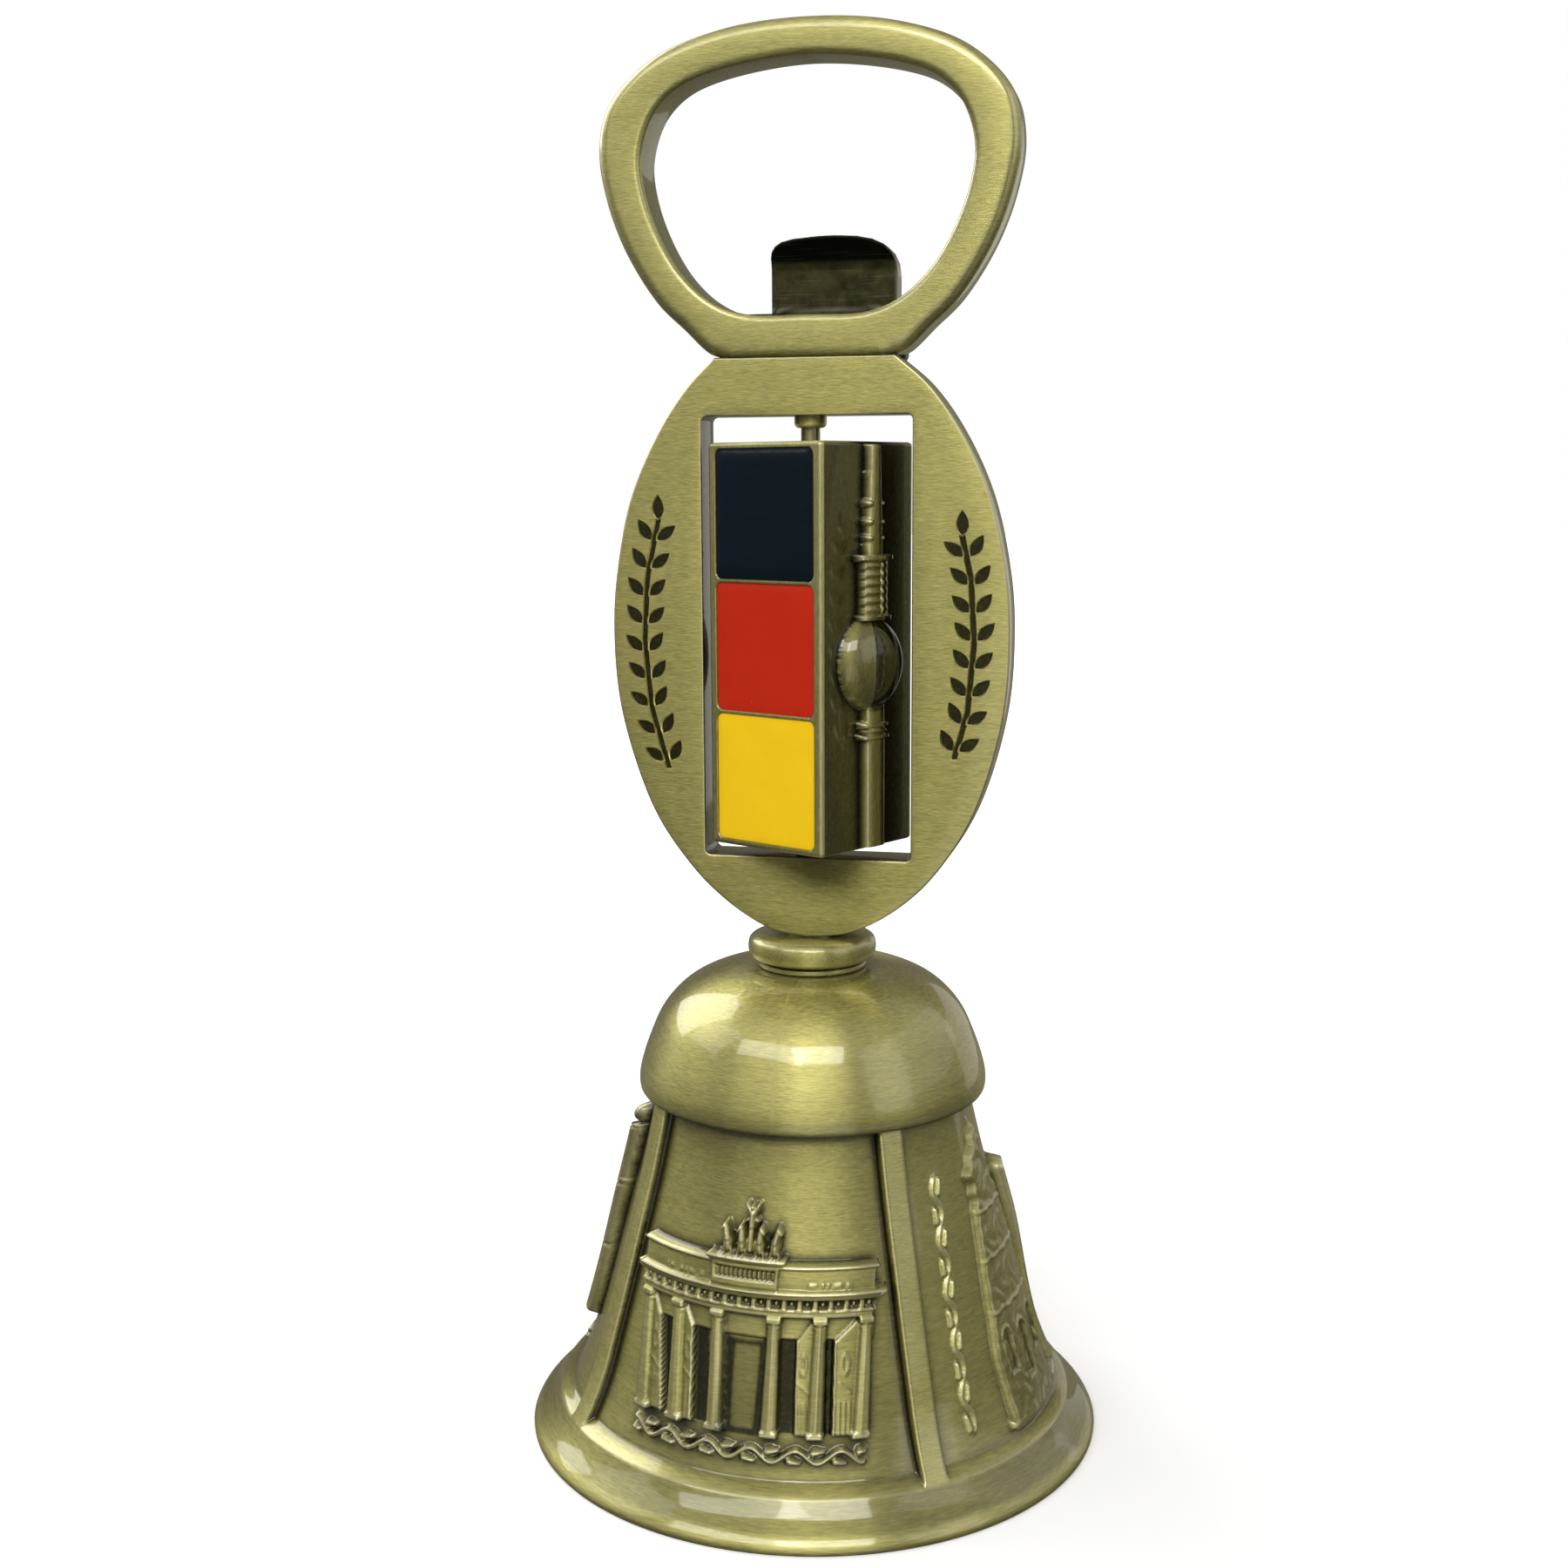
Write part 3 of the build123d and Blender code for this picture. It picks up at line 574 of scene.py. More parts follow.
def church_relief(x, z):
    """A broken-topped old tower in low relief, a slender belfry and a strip of leaves beside them."""
    ragged = 0.05 * np.sin(1.3 * z + 0.6) + 0.15 * np.sin(4.4 * z) * smooth((z - 20.5) / 2.5)
    body = poly(x + ragged, z, CHURCH_OUTLINE, 0.8)
    lumps = np.sin(2.6 * x + 1.9 * np.sin(1.7 * z)) * np.cos(2.1 * z + 1.3 * np.sin(1.9 * x))
    h = body * (0.60 + 0.04 * lumps)
    for x0, x1, z0, z1 in ((-5.1, -3.7, 8.4, 12.0), (-2.4, -0.6, 7.2, 11.6), (0.7, 2.1, 8.4, 12.0)):
        rim = arch(x, z, x0 - 0.22, x1 + 0.22, z0, z1 - 0.5, 0.95)
        h += body * (0.10 * rim - 0.34 * arch(x, z, x0, x1, z0, z1 - 0.6, 0.7))
    for zc in (13.4, 17.6, 21.4):
        h += 0.10 * body * band(z - 0.06 * np.sin(3 * x), zc, zc + 0.3, 0.2)
    along = x * 18.0 / (20.5 - 0.28 * (z - 8.0))
    tower = rect(along, z, 4.7, 7.3, 5.2, 23.7 - 0.45 * (along - 6.0) ** 2, 0.5)
    h = stack(h, (0.65 + 0.75 * smooth((z - 9.0) / 11.0)) * tower)
    h -= 0.10 * tower * band(along, 5.3, 6.7, 0.3) * band(z, 9.0, 22.8, 0.4)
    lean_to = poly(x, z, [(6.3, 5.0), (9.2, 5.0), (9.0, 10.6), (7.8, 12.0), (6.3, 10.6)], 0.3)
    slope = math.atan2(3.55, 17.7)
    u = (z - 15.7) * math.cos(slope) - (x + 9.75) * math.sin(slope)
    v = (z - 15.7) * math.sin(slope) - (x + 9.75) * math.cos(slope)
    h = stack(h, slabs(x, z, (0.6, -7.4, 9.0, 4.6, 5.2, 0.3)), 0.6 * lean_to, 0.66 * vine_row(u, v, 9.6))
    dark = 0.08 * body * smooth((14.0 - z) / 7.0) - 0.20 * (1 - body)
    return h, dark


def dome_relief(x, z):
    """A long hall with a dome over a colonnade."""
    h = slabs(x, z, (0.6, -10.0, 10.0, 6.6, 12.6))
    for i in range(15):
        h = stack(h, 0.95 * round_top((x + 9.4 - i * 1.343) / 0.34) * band(z, 7.4, 12.2, 0.1))
    drum = rect(x, z, -3.2, 3.2, 14.6, 17.0)
    h = stack(h, slabs(x, z, (1.0, -10.4, 10.4, 12.1, 13.3), (1.2, -10.7, 10.7, 13.1, 13.6),
                       (0.9, -10.8, 10.8, 6.4, 7.5), (1.05, -3.5, 3.5, 16.8, 17.3)),
              1.1 * poly(x, z, [(-3.6, 13.4), (3.6, 13.4), (0, 15.4)]), 0.85 * drum)
    h -= 0.3 * drum * (0.5 + 0.5 * np.cos(x * 5.8)) * band(z, 15.2, 16.7, 0.2)
    cap = blob(x, z, 0, 17.1, 3.3, 4.6) * (z > 17.0)
    across = np.clip(np.sqrt(np.clip(1 - ((z - 17.1) / 4.8) ** 2, 0.02, 1)), 0.1, 1)
    spire = stack(slabs(x, z, (0.9, -0.6, 0.6, 21.4, 22.9)), 0.9 * limb(x, z, 0, 22.8, 0, 24.8, 0.35, 0.12))
    h = stack(h, cap * (1.15 + 0.05 * np.cos(6.0 * x / across)), spire, vine_row(x, z - 5.3, 10.8))
    dark = 0.2 * rect(x, z, -11.4, 11.4, 4.4, 6.4, 0.6) + 0.5 * rect(x, z, -9.6, 9.6, 7.4, 12.1, 0.3)
    return h, dark


def column_relief(x, z):
    """A tall column with a small ball near one edge of the panel, and a low pavilion beside it."""
    mid = 7.4 - 1.45 * smooth((z - 10) / 17)
    w = 1.75 - 0.85 * smooth((z - 9.5) / 10) - 0.10 * (z > 22)
    d = np.abs(x - mid) / w
    h = (1.30 + 0.30 * smooth((z - 10) / 16)) * round_top(d, 3) * band(z, 9.9, 27.0, 0.3)
    for zc in (16.0, 21.4, 26.6):
        h -= 0.12 * band(z, zc, zc + 0.22, 0.12) * (d < 1)
    h = stack(h, 1.5 * blob(x, z, 5.95, 27.9, 0.85, 0.95),
              slabs(x, z, (0.7, -8.4, 2.2, 6.8, 12.6), (1.0, -9.0, 2.9, 12.4, 13.4)),
              0.95 * poly(x, z, [(-8.8, 13.3), (2.7, 13.3), (-3.05, 17.2)]))
    h -= 0.35 * poly(x, z, [(-7.0, 13.7), (0.9, 13.7), (-3.05, 16.4)])
    for i in range(6):
        h = stack(h, round_top((x + 7.6 - i * 1.82) / 0.45) * band(z, 7.0, 12.3, 0.1))
    h = stack(h, vine_row(x + 3.0, z - 5.3, 6.6))
    dark = 0.2 * rect(x, z, -10.0, 4.0, 4.4, 6.2, 0.6) + 0.5 * rect(x, z, -8.2, 2.0, 7.2, 12.2, 0.3)
    return h, stack(dark, 0.45 * (d < 1.1) * band(z, 9.9, 28.6, 0.3))


RIB_SIDE = np.array([0, 0.35, 0.7, 0.86, 0.95, 1.02, 1.075, 1.12, 1.15, 1.18, 1.21, 1.25, 1.31, 1.42, 1.6])
RIB_DEPTH = np.array([0, 0, 0, 0.008, 0.03, 0.075, 0.15, 0.28, 0.45, 0.62, 0.74, 0.82, 0.87, RECESS, RECESS])


def bell_sector(name, relief, turn_angle):
    """A quarter of the bell's skirt: half a rib, a recessed panel with its relief, half a rib."""
    curve = spline(RIB_PROFILE[4:], 700)
    low = RIB_PROFILE[:5]
    zs = np.concatenate([
        np.linspace(0.72, 3.3, 14), np.linspace(3.38, 4.6, 14), np.arange(4.7, 28.6, 0.118),
        np.arange(28.7, 31.5, 0.3),
    ])
    zs = zs
    rs = np.concatenate([low[:, 0], np.interp(zs, curve[:, 1], curve[:, 0])])
    zs = np.concatenate([low[:, 1], zs])
    rib_phi = np.arcsin(RIB_SIDE[None] / rs[:, None])
    n = 232
    inner = np.linspace(0, 1, n + 2)[1:-1][None]
    half = math.pi / 4
    first, last = -half + rib_phi[:, -1:], half - rib_phi[:, -1:]
    phi = np.concatenate([-half + rib_phi, first + (last - first) * inner, (half - rib_phi)[:, ::-1]], 1)
    depth = np.concatenate([RIB_DEPTH, np.full(n, RECESS), RIB_DEPTH[::-1]])[None]
    z2 = np.broadcast_to(zs[:, None], phi.shape)
    r2 = np.broadcast_to(rs[:, None], phi.shape)
    slope = smooth((z2 - 3.42) / 0.85)
    floor = smooth((depth - 0.55) / 0.35) * smooth((z2 - 3.9) / 0.5)
    height, dark = relief(phi * r2, z2)
    height = height * floor
    proud = height * (z2 > 3.4) - depth * slope
    cells = 3.0
    cavity = np.clip((blur(proud, cells * 1.3) - proud) * 2.6, 0, 1)
    edge = np.clip((proud - blur(proud, cells * 0.8)) * 4.0 - 0.04, 0, 1)
    wall = np.clip((0.86 - np.abs(depth - 0.45) * 2.2), 0, 1) * slope
    from_rib = np.clip(np.minimum(phi + half, half - phi) * r2 - 1.25, 0, 9)
    crevice = (0.95 * np.exp(-from_rib / 0.30) + 0.34 * np.exp(-from_rib / 1.5)) * (depth > 0.6) * slope
    # Painted shade under the cap's overhang, over patina in the crevice below its lip; raised relief takes
    # half of it.
    shade_under_cap = (0.75 * smooth((z2 - 29.6) / 1.0) + 0.22 * smooth((z2 - 26.5) / 3.5)) * (depth > 0.5)
    low_panel = 0.16 * smooth((13.0 - z2) / 8.0) * floor
    on_ground = 1 - smooth(height / 0.5)
    patina_and_shade = 0.15 * floor + low_panel + dark * floor * np.maximum(on_ground, 0.55) + 0.85 * cavity
    patina_and_shade += 0.36 * smooth((z2 - 1.1) / 0.5) * smooth((3.7 - z2) / 0.5)
    patina_and_shade = stack(patina_and_shade, crevice, 0.7 * wall) + shade_under_cap * (1 - 0.5 * (height > 0.6))
    patina_and_shade = np.clip(patina_and_shade, 0, 1)
    ang = phi + turn_angle
    out = r2 + proud
    verts = np.stack([out * np.sin(ang), -out * np.cos(ang), z2], -1).reshape(-1, 3)
    brush = np.stack([phi * 14 + 60 * turn_angle, z2, out], -1).reshape(-1, 3)
    attrs = {"brush": brush, "patina_and_shade": patina_and_shade.ravel(), "edge": (edge * (patina_and_shade < 0.9)).ravel()}
    return brass_piece(name, verts, grid_faces(*phi.shape), ROOT, "bell_shell", attrs)


for place, (label, relief) in enumerate((
    ("gate", gate_relief), ("church", church_relief), ("dome", dome_relief), ("column", column_relief),
)):
    bell_sector(f"bell_panel_{label}", relief, BELL_TURN + place * math.pi / 2)


def half_section(points, last, count):
    """A turned outline: its first two and its closing points as they are, a smooth curve between."""
    return np.vstack([np.array(points[:2]), spline(points[2:last], count), np.array(points[last:])])


cap_curve = half_section(CAP_PROFILE, 13, 90)
# Painted shade: the underside of the cap's lip is near-black, over patina in that crevice; the cap is also
# darker round the collar.
cap_patina_and_shade = 0.9 * smooth((30.8 - cap_curve[:, 1]) / 0.3) + 0.55 * smooth((6.6 - cap_curve[:, 0]) / 1.8)
cap_edge = np.exp(-(((cap_curve[:, 1] - 31.0) / 0.22) ** 2)) * 0.25
lathe("bell_cap", cap_curve, "antique_brass", ["bell_shell"], n=256, patina_and_shade=cap_patina_and_shade, edge=cap_edge)
lining = half_section(INNER_PROFILE, 14, 80)[::-1]
lathe("bell_lining", lining, "antique_brass", ["bell_shell"], n=256,
      patina_and_shade=0.45 * smooth((lining[:, 1] - 0.6) / 2.0), edge=0.3 * smooth((0.4 - lining[:, 1]) / 0.4))

# -------------------------------------------------------------- neck collar
collar = spline([
    (4.5, CROWN_Z), (4.68, 41.12), (4.7, 41.45), (4.45, 41.66), (4.95, 41.74), (5.34, 41.96), (5.52, 42.45),
    (5.52, 43.1), (5.38, 43.5), (5.0, 43.78), (4.4, COLLAR_TOP),
], 64)
collar = np.vstack([[(1.25, CROWN_Z)], collar, [(1.25, COLLAR_TOP)]])
collar_r, collar_z = collar.T
collar_patina = 0.16 + 0.9 * np.exp(-(((collar_z - 41.66) / 0.16) ** 2))
collar_patina += 0.35 * smooth((41.15 - collar_z) / 0.25)
collar_patina += 0.5 * smooth((4.6 - collar_r) / 1.2) * (collar_z > 43.5)
lathe("neck_collar_ring", collar, "antique_brass", ["neck_collar"], n=128, patina_and_shade=collar_patina,
      edge=0.5 * np.exp(-(((collar_z - 43.6) / 0.2) ** 2)))


# ------------------------------------------------------ flat loops: handle
def polar(points, centre, angles):
    """Radius of a closed outline seen from centre at each angle."""
    d = points - centre
    a = np.unwrap(np.arctan2(d[:, 1], d[:, 0]))
    r = np.hypot(d[:, 0], d[:, 1])
    if a[-1] < a[0]:
        a, r = a[::-1], r[::-1]
    turns = np.concatenate([a - 2 * math.pi, a, a + 2 * math.pi])
    rr = np.concatenate([r, r, r])
    order = np.argsort(turns)
    return np.interp(angles, turns[order], rr[order])


def by_angle(loop, centre, angles):
    """The points of a closed outline at each angle from centre."""
    return centre + np.stack([np.cos(angles), np.sin(angles)], 1) * polar(loop, centre, angles)[:, None]


def offset(loop, distance):
    """A closed loop of (x, z) moved along its outward normals, mitred at corners."""
    nxt, prv = np.roll(loop, -1, 0), np.roll(loop, 1, 0)
    t1, t0 = nxt - loop, loop - prv
    t1 /= np.linalg.norm(t1, axis=1)[:, None] + 1e-12
    t0 /= np.linalg.norm(t0, axis=1)[:, None] + 1e-12
    n1 = np.stack([t1[:, 1], -t1[:, 0]], 1)
    n0 = np.stack([t0[:, 1], -t0[:, 0]], 1)
    n = n0 + n1
    n /= np.linalg.norm(n, axis=1)[:, None] + 1e-12
    grow = 1.0 / np.clip((n * n1).sum(1), 0.5, 1)
    return loop + distance * n * grow[:, None]


def loop_band(outer, inner, y_half, round_out, round_in, steps, across):
    """Rows of points, with their y, around a closed solid between two matched loops."""
    t = np.linspace(0, math.pi / 2, steps)
    rows = []
    for k in t:
        rows.append((offset(outer, -round_out * (1 - math.cos(k))), -y_half + round_out * (1 - math.sin(k))))
    a, b = rows[-1][0], offset(inner, round_in)
    for k in np.linspace(0, 1, across + 1)[1:-1]:
        rows.append((a * (1 - k) + b * k, -y_half))
    for k in t[::-1]:
        rows.append((offset(inner, round_in * (1 - math.cos(k))), -y_half + round_in * (1 - math.sin(k))))
    return rows + [(loop, -y) for loop, y in rows[::-1]]


def loop_mesh(rows):
    verts = np.concatenate([np.stack([loop[:, 0], np.full(len(loop), y), loop[:, 1]], 1) for loop, y in rows])
    return verts, grid_faces(len(rows), len(rows[0][0]), close_cols=True, close_rows=True)


FRAME_RIGHT = np.array([
    (7.45, SEAM_Z), (10.15, 90.3), (12.75, 86.7), (15.25, 81.3), (16.75, 74.5), (17.05, 69.3), (16.65, 63.5),
    (15.05, 57.1), (13.4, 53.3), (10.9, 49.6), (9.0, 47.6), (6.3, 45.6), (3.4, 44.3), (0.0, 43.87),
])
FRAME_LEFT = np.array([
    (7.75, SEAM_Z), (10.1, 90.3), (12.6, 86.7), (15.1, 81.3), (16.55, 74.5), (16.85, 69.3), (16.35, 63.5),
    (14.55, 57.1), (12.8, 53.3), (10.1, 49.6), (8.2, 47.65), (5.65, 45.7), (3.0, 44.35), (0.0, 43.87),
])
frame_outline = np.vstack([spline(FRAME_RIGHT, 500), (spline(FRAME_LEFT, 500) * (-1, 1))[::-1][1:]])
frame_outline = np.vstack([frame_outline, np.linspace(frame_outline[-1], frame_outline[0], 120)[1:-1]])


def rounded_box(x0, x1, z0, z1, r, n=10):
    out = []
    corners = ((x1 - r, z1 - r, 0), (x0 + r, z1 - r, 90), (x0 + r, z0 + r, 180), (x1 - r, z0 + r, 270))
    for cx, cz, a0 in corners:
        a = np.radians(np.linspace(a0, a0 + 90, n))
        out.append(np.stack([cx + r * np.cos(a), cz + r * np.sin(a)], 1))
    return np.vstack(out)


def densify(loop, gap):
    out = []
    for a, b in zip(loop, np.roll(loop, -1, 0)):
        n = max(1, int(np.linalg.norm(b - a) / gap))
        out.append(a + (b - a) * np.arange(n)[:, None] / n)
    return np.vstack(out)


def matched(outer, inner, centre, count):
    """Both outlines resampled at the same angles, with the corners of each kept."""
    angles = np.linspace(0, 2 * math.pi, count, endpoint=False)
    sharp = []
    for pts in (outer, inner):
        d1, d0 = np.roll(pts, -1, 0) - pts, pts - np.roll(pts, 1, 0)
        bend = np.abs(np.arctan2(d0[:, 0] * d1[:, 1] - d0[:, 1] * d1[:, 0], (d0 * d1).sum(1)))
        corner = pts[bend > math.radians(4)] - centre
        sharp.append(np.arctan2(corner[:, 1], corner[:, 0]) % (2 * math.pi))
    angles = np.unique(np.round(np.concatenate([angles] + sharp), 6))
    keep = np.concatenate([[True], np.diff(angles) > 2e-4])
    return by_angle(outer, centre, angles[keep]), by_angle(inner, centre, angles[keep])


window = densify(rounded_box(-WIN_HW, WIN_HW, WIN_Z0, WIN_Z1, 0.5), 0.4)
f_out, f_in = matched(frame_outline, window, np.array([0.0, 69.4]), 900)


def edge_x(z):
    return np.interp(z, FRAME_LEFT[::-1, 1], FRAME_LEFT[::-1, 0])


SPRIG_IN = 2.75


def leaf_outline(x, z, lean, length, width, n=14):
    """A pointed oval leaf growing from (x, z)."""
    a = math.radians(lean)
    s = np.linspace(0, 1, n)
    half = 0.5 * width * np.sin(math.pi * s**0.85) ** 0.9
    pts = np.concatenate([np.stack([s, half], 1), np.stack([s[::-1], -half[::-1]], 1)[1:-1]])
    along, across = pts[:, 0] * length, pts[:, 1]
    px = x + along * math.sin(a) + across * math.cos(a)
    return np.stack([px, z + along * math.cos(a) - across * math.sin(a)], 1)


def laurel(side, z0, pairs, pitch):
    """A sprig that follows the edge of the frame: a stem, pairs of leaves and a leaf at the tip."""
    def spine(z):
        return side * (edge_x(z) - SPRIG_IN)

    z1 = z0 + pairs * pitch
    zs = np.linspace(z0, z1, 24)
    stem = np.vstack([np.stack([spine(zs) - 0.17, zs], 1), np.stack([spine(zs) + 0.17, zs], 1)[::-1]])
    shapes = [stem]
    for i in range(pairs):
        z = z0 + 0.4 + i * pitch
        lean = math.degrees(math.atan2(spine(z + 1) - spine(z - 1), 2))
        shapes.append(leaf_outline(spine(z) + 0.32, z + 0.3, lean + 42, 1.85, 0.86))
        shapes.append(leaf_outline(spine(z) - 0.32, z + 0.3, lean - 42, 1.85, 0.86))
    shapes.append(leaf_outline(spine(z1), z1 + 0.1, 0, 1.9, 0.86))
    return shapes


sprigs = laurel(-1, 58.2, 9, 2.35) + laurel(1, 59.6, 8, 2.3)


def counter_clockwise(pts):
    area = np.sum(pts[:, 0] * np.roll(pts[:, 1], -1) - np.roll(pts[:, 0], -1) * pts[:, 1])
    return pts if area > 0 else pts[::-1]


def prism(shapes, y0, y1, grow=0.0):
    """Closed flat solids from outlines in (x, z)."""
    verts, faces = [], []
    for pts in shapes:
        pts = counter_clockwise(pts)
        if grow:
            pts = offset(pts, grow)
        n, base = len(pts), len(verts)
        verts += [(x, y0, z) for x, z in pts] + [(x, y1, z) for x, z in pts]
        faces.append(tuple(range(base, base + n)))
        faces.append(tuple(range(base + 2 * n - 1, base + n - 1, -1)))
        faces += [(base + (i + 1) % n, base + i, base + n + i, base + n + (i + 1) % n) for i in range(n)]
    return np.array(verts), faces


def cut_shapes(obj, shapes, y0, y1, grow):
    """Cuts each prism out of obj."""
    verts, faces = prism(shapes, y0, y1, grow)
    mesh = bpy.data.meshes.new("cutter")
    mesh.from_pydata((verts * MM).tolist(), [], faces)
    cutter = bpy.data.objects.new("cutter", mesh)
    bpy.context.scene.collection.objects.link(cutter)
    mod = obj.modifiers.new("cut", "BOOLEAN")
    mod.operation = "DIFFERENCE"
    mod.solver = "EXACT"
    mod.use_self = True
    mod.object = cutter
    bake_modifiers(obj)
    bpy.data.objects.remove(cutter)


def flat_brush(verts):
    """The brushing of a flat handle piece runs along X."""
    return verts[:, [0, 2, 1]]


def paint_flat(obj, paint):
    """The brush direction of a flat handle piece, and its patina and edge values from paint(x, y, z)."""
    mesh = obj.data
    co = np.zeros(len(mesh.vertices) * 3)
    mesh.vertices.foreach_get("co", co)
    co = co.reshape(-1, 3) / MM
    patina_and_shade, edge = paint(*co.T)
    for key, data in (("brush", flat_brush(co)), ("patina_and_shade", patina_and_shade), ("edge", edge)):
        if key in mesh.attributes:
            mesh.attributes.remove(mesh.attributes[key])
        add_attribute(mesh, key, data)
    mesh.polygons.foreach_set("use_smooth", [True] * len(mesh.polygons))
    mesh.set_sharp_from_angle(angle=math.radians(28))
    mesh.update()


LEAF_RIM = 0.10
ENGRAVE = 0.30


def frame_paint(x, y, z):
    inside = (np.abs(x) < WIN_HW + 0.12) & (z > WIN_Z0 - 0.12) & (z < WIN_Z1 + 0.12)
    seam = np.exp(-(((z - SEAM_Z) / 0.12) ** 2))
    depth = FRAME_Y - np.abs(y)
    groove = (depth > ENGRAVE - 0.02) & (y < 0) & (depth < ENGRAVE + 0.02)
    foot = smooth((45.6 - z) / 1.4) * 0.45
    # A painted shadow of the block on the plate's face just below the window.
    painted_block_shadow = 0.5 * np.exp(-(((x - 0.8) / 3.0) ** 2)) * smooth((z - 46.8) / 2.8) * ((z < WIN_Z0) & (y < 0))
    # The window's inner walls are darkened: patina with painted shade.
    patina_and_shade = np.clip(0.92 * (inside & (depth > 0.12)) + 0.8 * seam + 0.9 * groove + foot + painted_block_shadow, 0, 1)
    # The bevel round the plate's faces is brightened: wear and a painted highlight.
    edge = 0.75 * ((depth > 0.005) & (depth < 0.19)) * (1 - seam) * (1 - smooth((46.5 - z) / 2.0))
    return patina_and_shade, edge


def leaf_rims(shapes):
    """A narrow sloping rim round each engraved leaf, from the plate's face down to the leaf's wall."""
    verts, faces, edge = [], [], []
    for pts in map(counter_clockwise, shapes):
        base, n = len(verts), len(pts)
        loops = ((offset(pts, LEAF_RIM + 0.01), -0.002, 0.9), (pts, 0.15, 0.5), (pts, ENGRAVE + 0.02, 0.0))
        for loop, y, bright in loops:
            verts += [(px, -FRAME_Y + y, pz) for px, pz in loop]
            edge += [bright] * n
        faces += [tuple(base + i for i in f) for f in grid_faces(3, n, close_cols=True)[:, ::-1]]
    return np.array(verts), faces, np.array(edge)


verts, faces = loop_mesh(loop_band(f_out, f_in, FRAME_Y, 0.20, 0.16, 6, 4))
plate = brass_piece("frame_plate", verts, faces, ROOT, "spinner_frame", {}, 40)
cut_shapes(plate, sprigs, -FRAME_Y - 1, -FRAME_Y + ENGRAVE, LEAF_RIM)
paint_flat(plate, frame_paint)
verts, faces, edge = leaf_rims(sprigs)
rim_attrs = {"brush": flat_brush(verts), "patina_and_shade": 0.8 * (edge < 0.1), "edge": edge}
brass_piece("frame_sprig_rims", verts, faces, ROOT, "spinner_frame", rim_attrs, 30)
verts, faces = prism(sprigs, -FRAME_Y + 0.20, -FRAME_Y + ENGRAVE + 0.02, -0.02)
fill_attrs = {"brush": flat_brush(verts), "patina_and_shade": np.ones(len(verts)), "edge": np.zeros(len(verts))}
brass_piece("frame_sprig_fill", verts, faces, ROOT, "spinner_frame", fill_attrs, 30)
foot = rounded_box(-1.9, 1.9, -1.9, 1.9, 0.4)
levels = ((1.0, COLLAR_TOP), (1.0, 44.7), (0.9, 45.6))
verts = np.array([(x * size, y * size, z) for size, z in levels for x, y in foot])
faces = grid_faces(len(levels), len(foot), close_cols=True)
foot_attrs = {"brush": verts, "patina_and_shade": np.full(len(verts), 0.8), "edge": np.zeros(len(verts))}
brass_piece("frame_foot", verts, faces, ROOT, "spinner_frame", foot_attrs, 40)

# ------------------------------------------------------------- opener ring
RING_OUTER = np.array([
    (7.3, SEAM_Z), (8.3, 93.05), (10.35, 94.95), (12.6, 97.1), (15.35, 101.4), (16.95, 105.7), (17.5, 109.5),
    (16.7, 113.0), (13.15, 116.5), (7.35, 118.6), (0.0, 119.3),
])
RING_INNER = np.array([
    (0.0, 96.0), (5.2, 96.15), (8.0, 97.3), (10.3, 99.4), (12.15, 102.4), (13.4, 105.8), (13.75, 108.9),
    (12.75, 112.1), (10.95, 114.0), (8.0, 115.25), (0.0, 116.3),
])
RING_CENTRE = np.array([0.0, 106.0])
RING_ROUND_OUT, RING_ROUND_IN = 1.10, 0.60


def cut_at_seam(curve, count):
    """An open outline from foot to foot, ended where it meets the seam and closed by a straight foot."""
    z = curve[:, 1]
    keep = z > SEAM_Z
    first, last = np.argmax(keep), len(z) - 1 - np.argmax(keep[::-1])

    def meet(i, j):
        t = (SEAM_Z - z[i]) / (z[j] - z[i])
        return curve[i] + t * (curve[j] - curve[i])

    start = meet(first - 1, first) if first > 0 else curve[0]
    end = meet(last + 1, last) if last < len(z) - 1 else curve[-1]
    side = np.vstack([start, curve[first : last + 1], end])
    length = np.concatenate([[0], np.cumsum(np.linalg.norm(np.diff(side, axis=0), axis=1))])
    want = np.linspace(0, length[-1], count)
    side = np.stack([np.interp(want, length, side[:, k]) for k in (0, 1)], 1)
    return np.vstack([side, np.linspace(end, start, count // 6)[1:-1]])


below = RING_OUTER[0] + (RING_OUTER[0] - RING_OUTER[1]) * 0.8
right_side = np.vstack([below, RING_OUTER])
both = np.vstack([right_side, (right_side * (-1, 1))[::-1][1:]])
ring_open = spline(both, 1100)
hole = np.vstack([RING_INNER, (RING_INNER * (-1, 1))[::-1][1:-1]])
ring_hole = spline(hole, 900, closed=True)[:-1]


def open_offset(curve, distance):
    t = np.gradient(curve, axis=0)
    t /= np.linalg.norm(t, axis=1)[:, None]
    return curve + distance * np.stack([t[:, 1], -t[:, 0]], 1)


RING_COUNT = 720
from_centre = cut_at_seam(ring_open, RING_COUNT) - RING_CENTRE
inner_angles = np.arctan2(from_centre[:, 1], from_centre[:, 0])
r_in = by_angle(ring_hole, RING_CENTRE, inner_angles)
steps = np.linspace(0, math.pi / 2, 9)
rows = []
for k in steps:
    d = RING_ROUND_OUT * (1 - math.cos(k))
    loop = cut_at_seam(open_offset(ring_open, -d), RING_COUNT)
    rows.append((loop, -RING_Y + RING_ROUND_OUT * (1 - math.sin(k))))
face_out, face_in = rows[-1][0], by_angle(offset(ring_hole, RING_ROUND_IN), RING_CENTRE, inner_angles)
for k in np.linspace(0, 1, 9)[1:-1]:
    rows.append((face_out * (1 - k) + face_in * k, -RING_Y - 0.03 * math.sin(math.pi * k)))
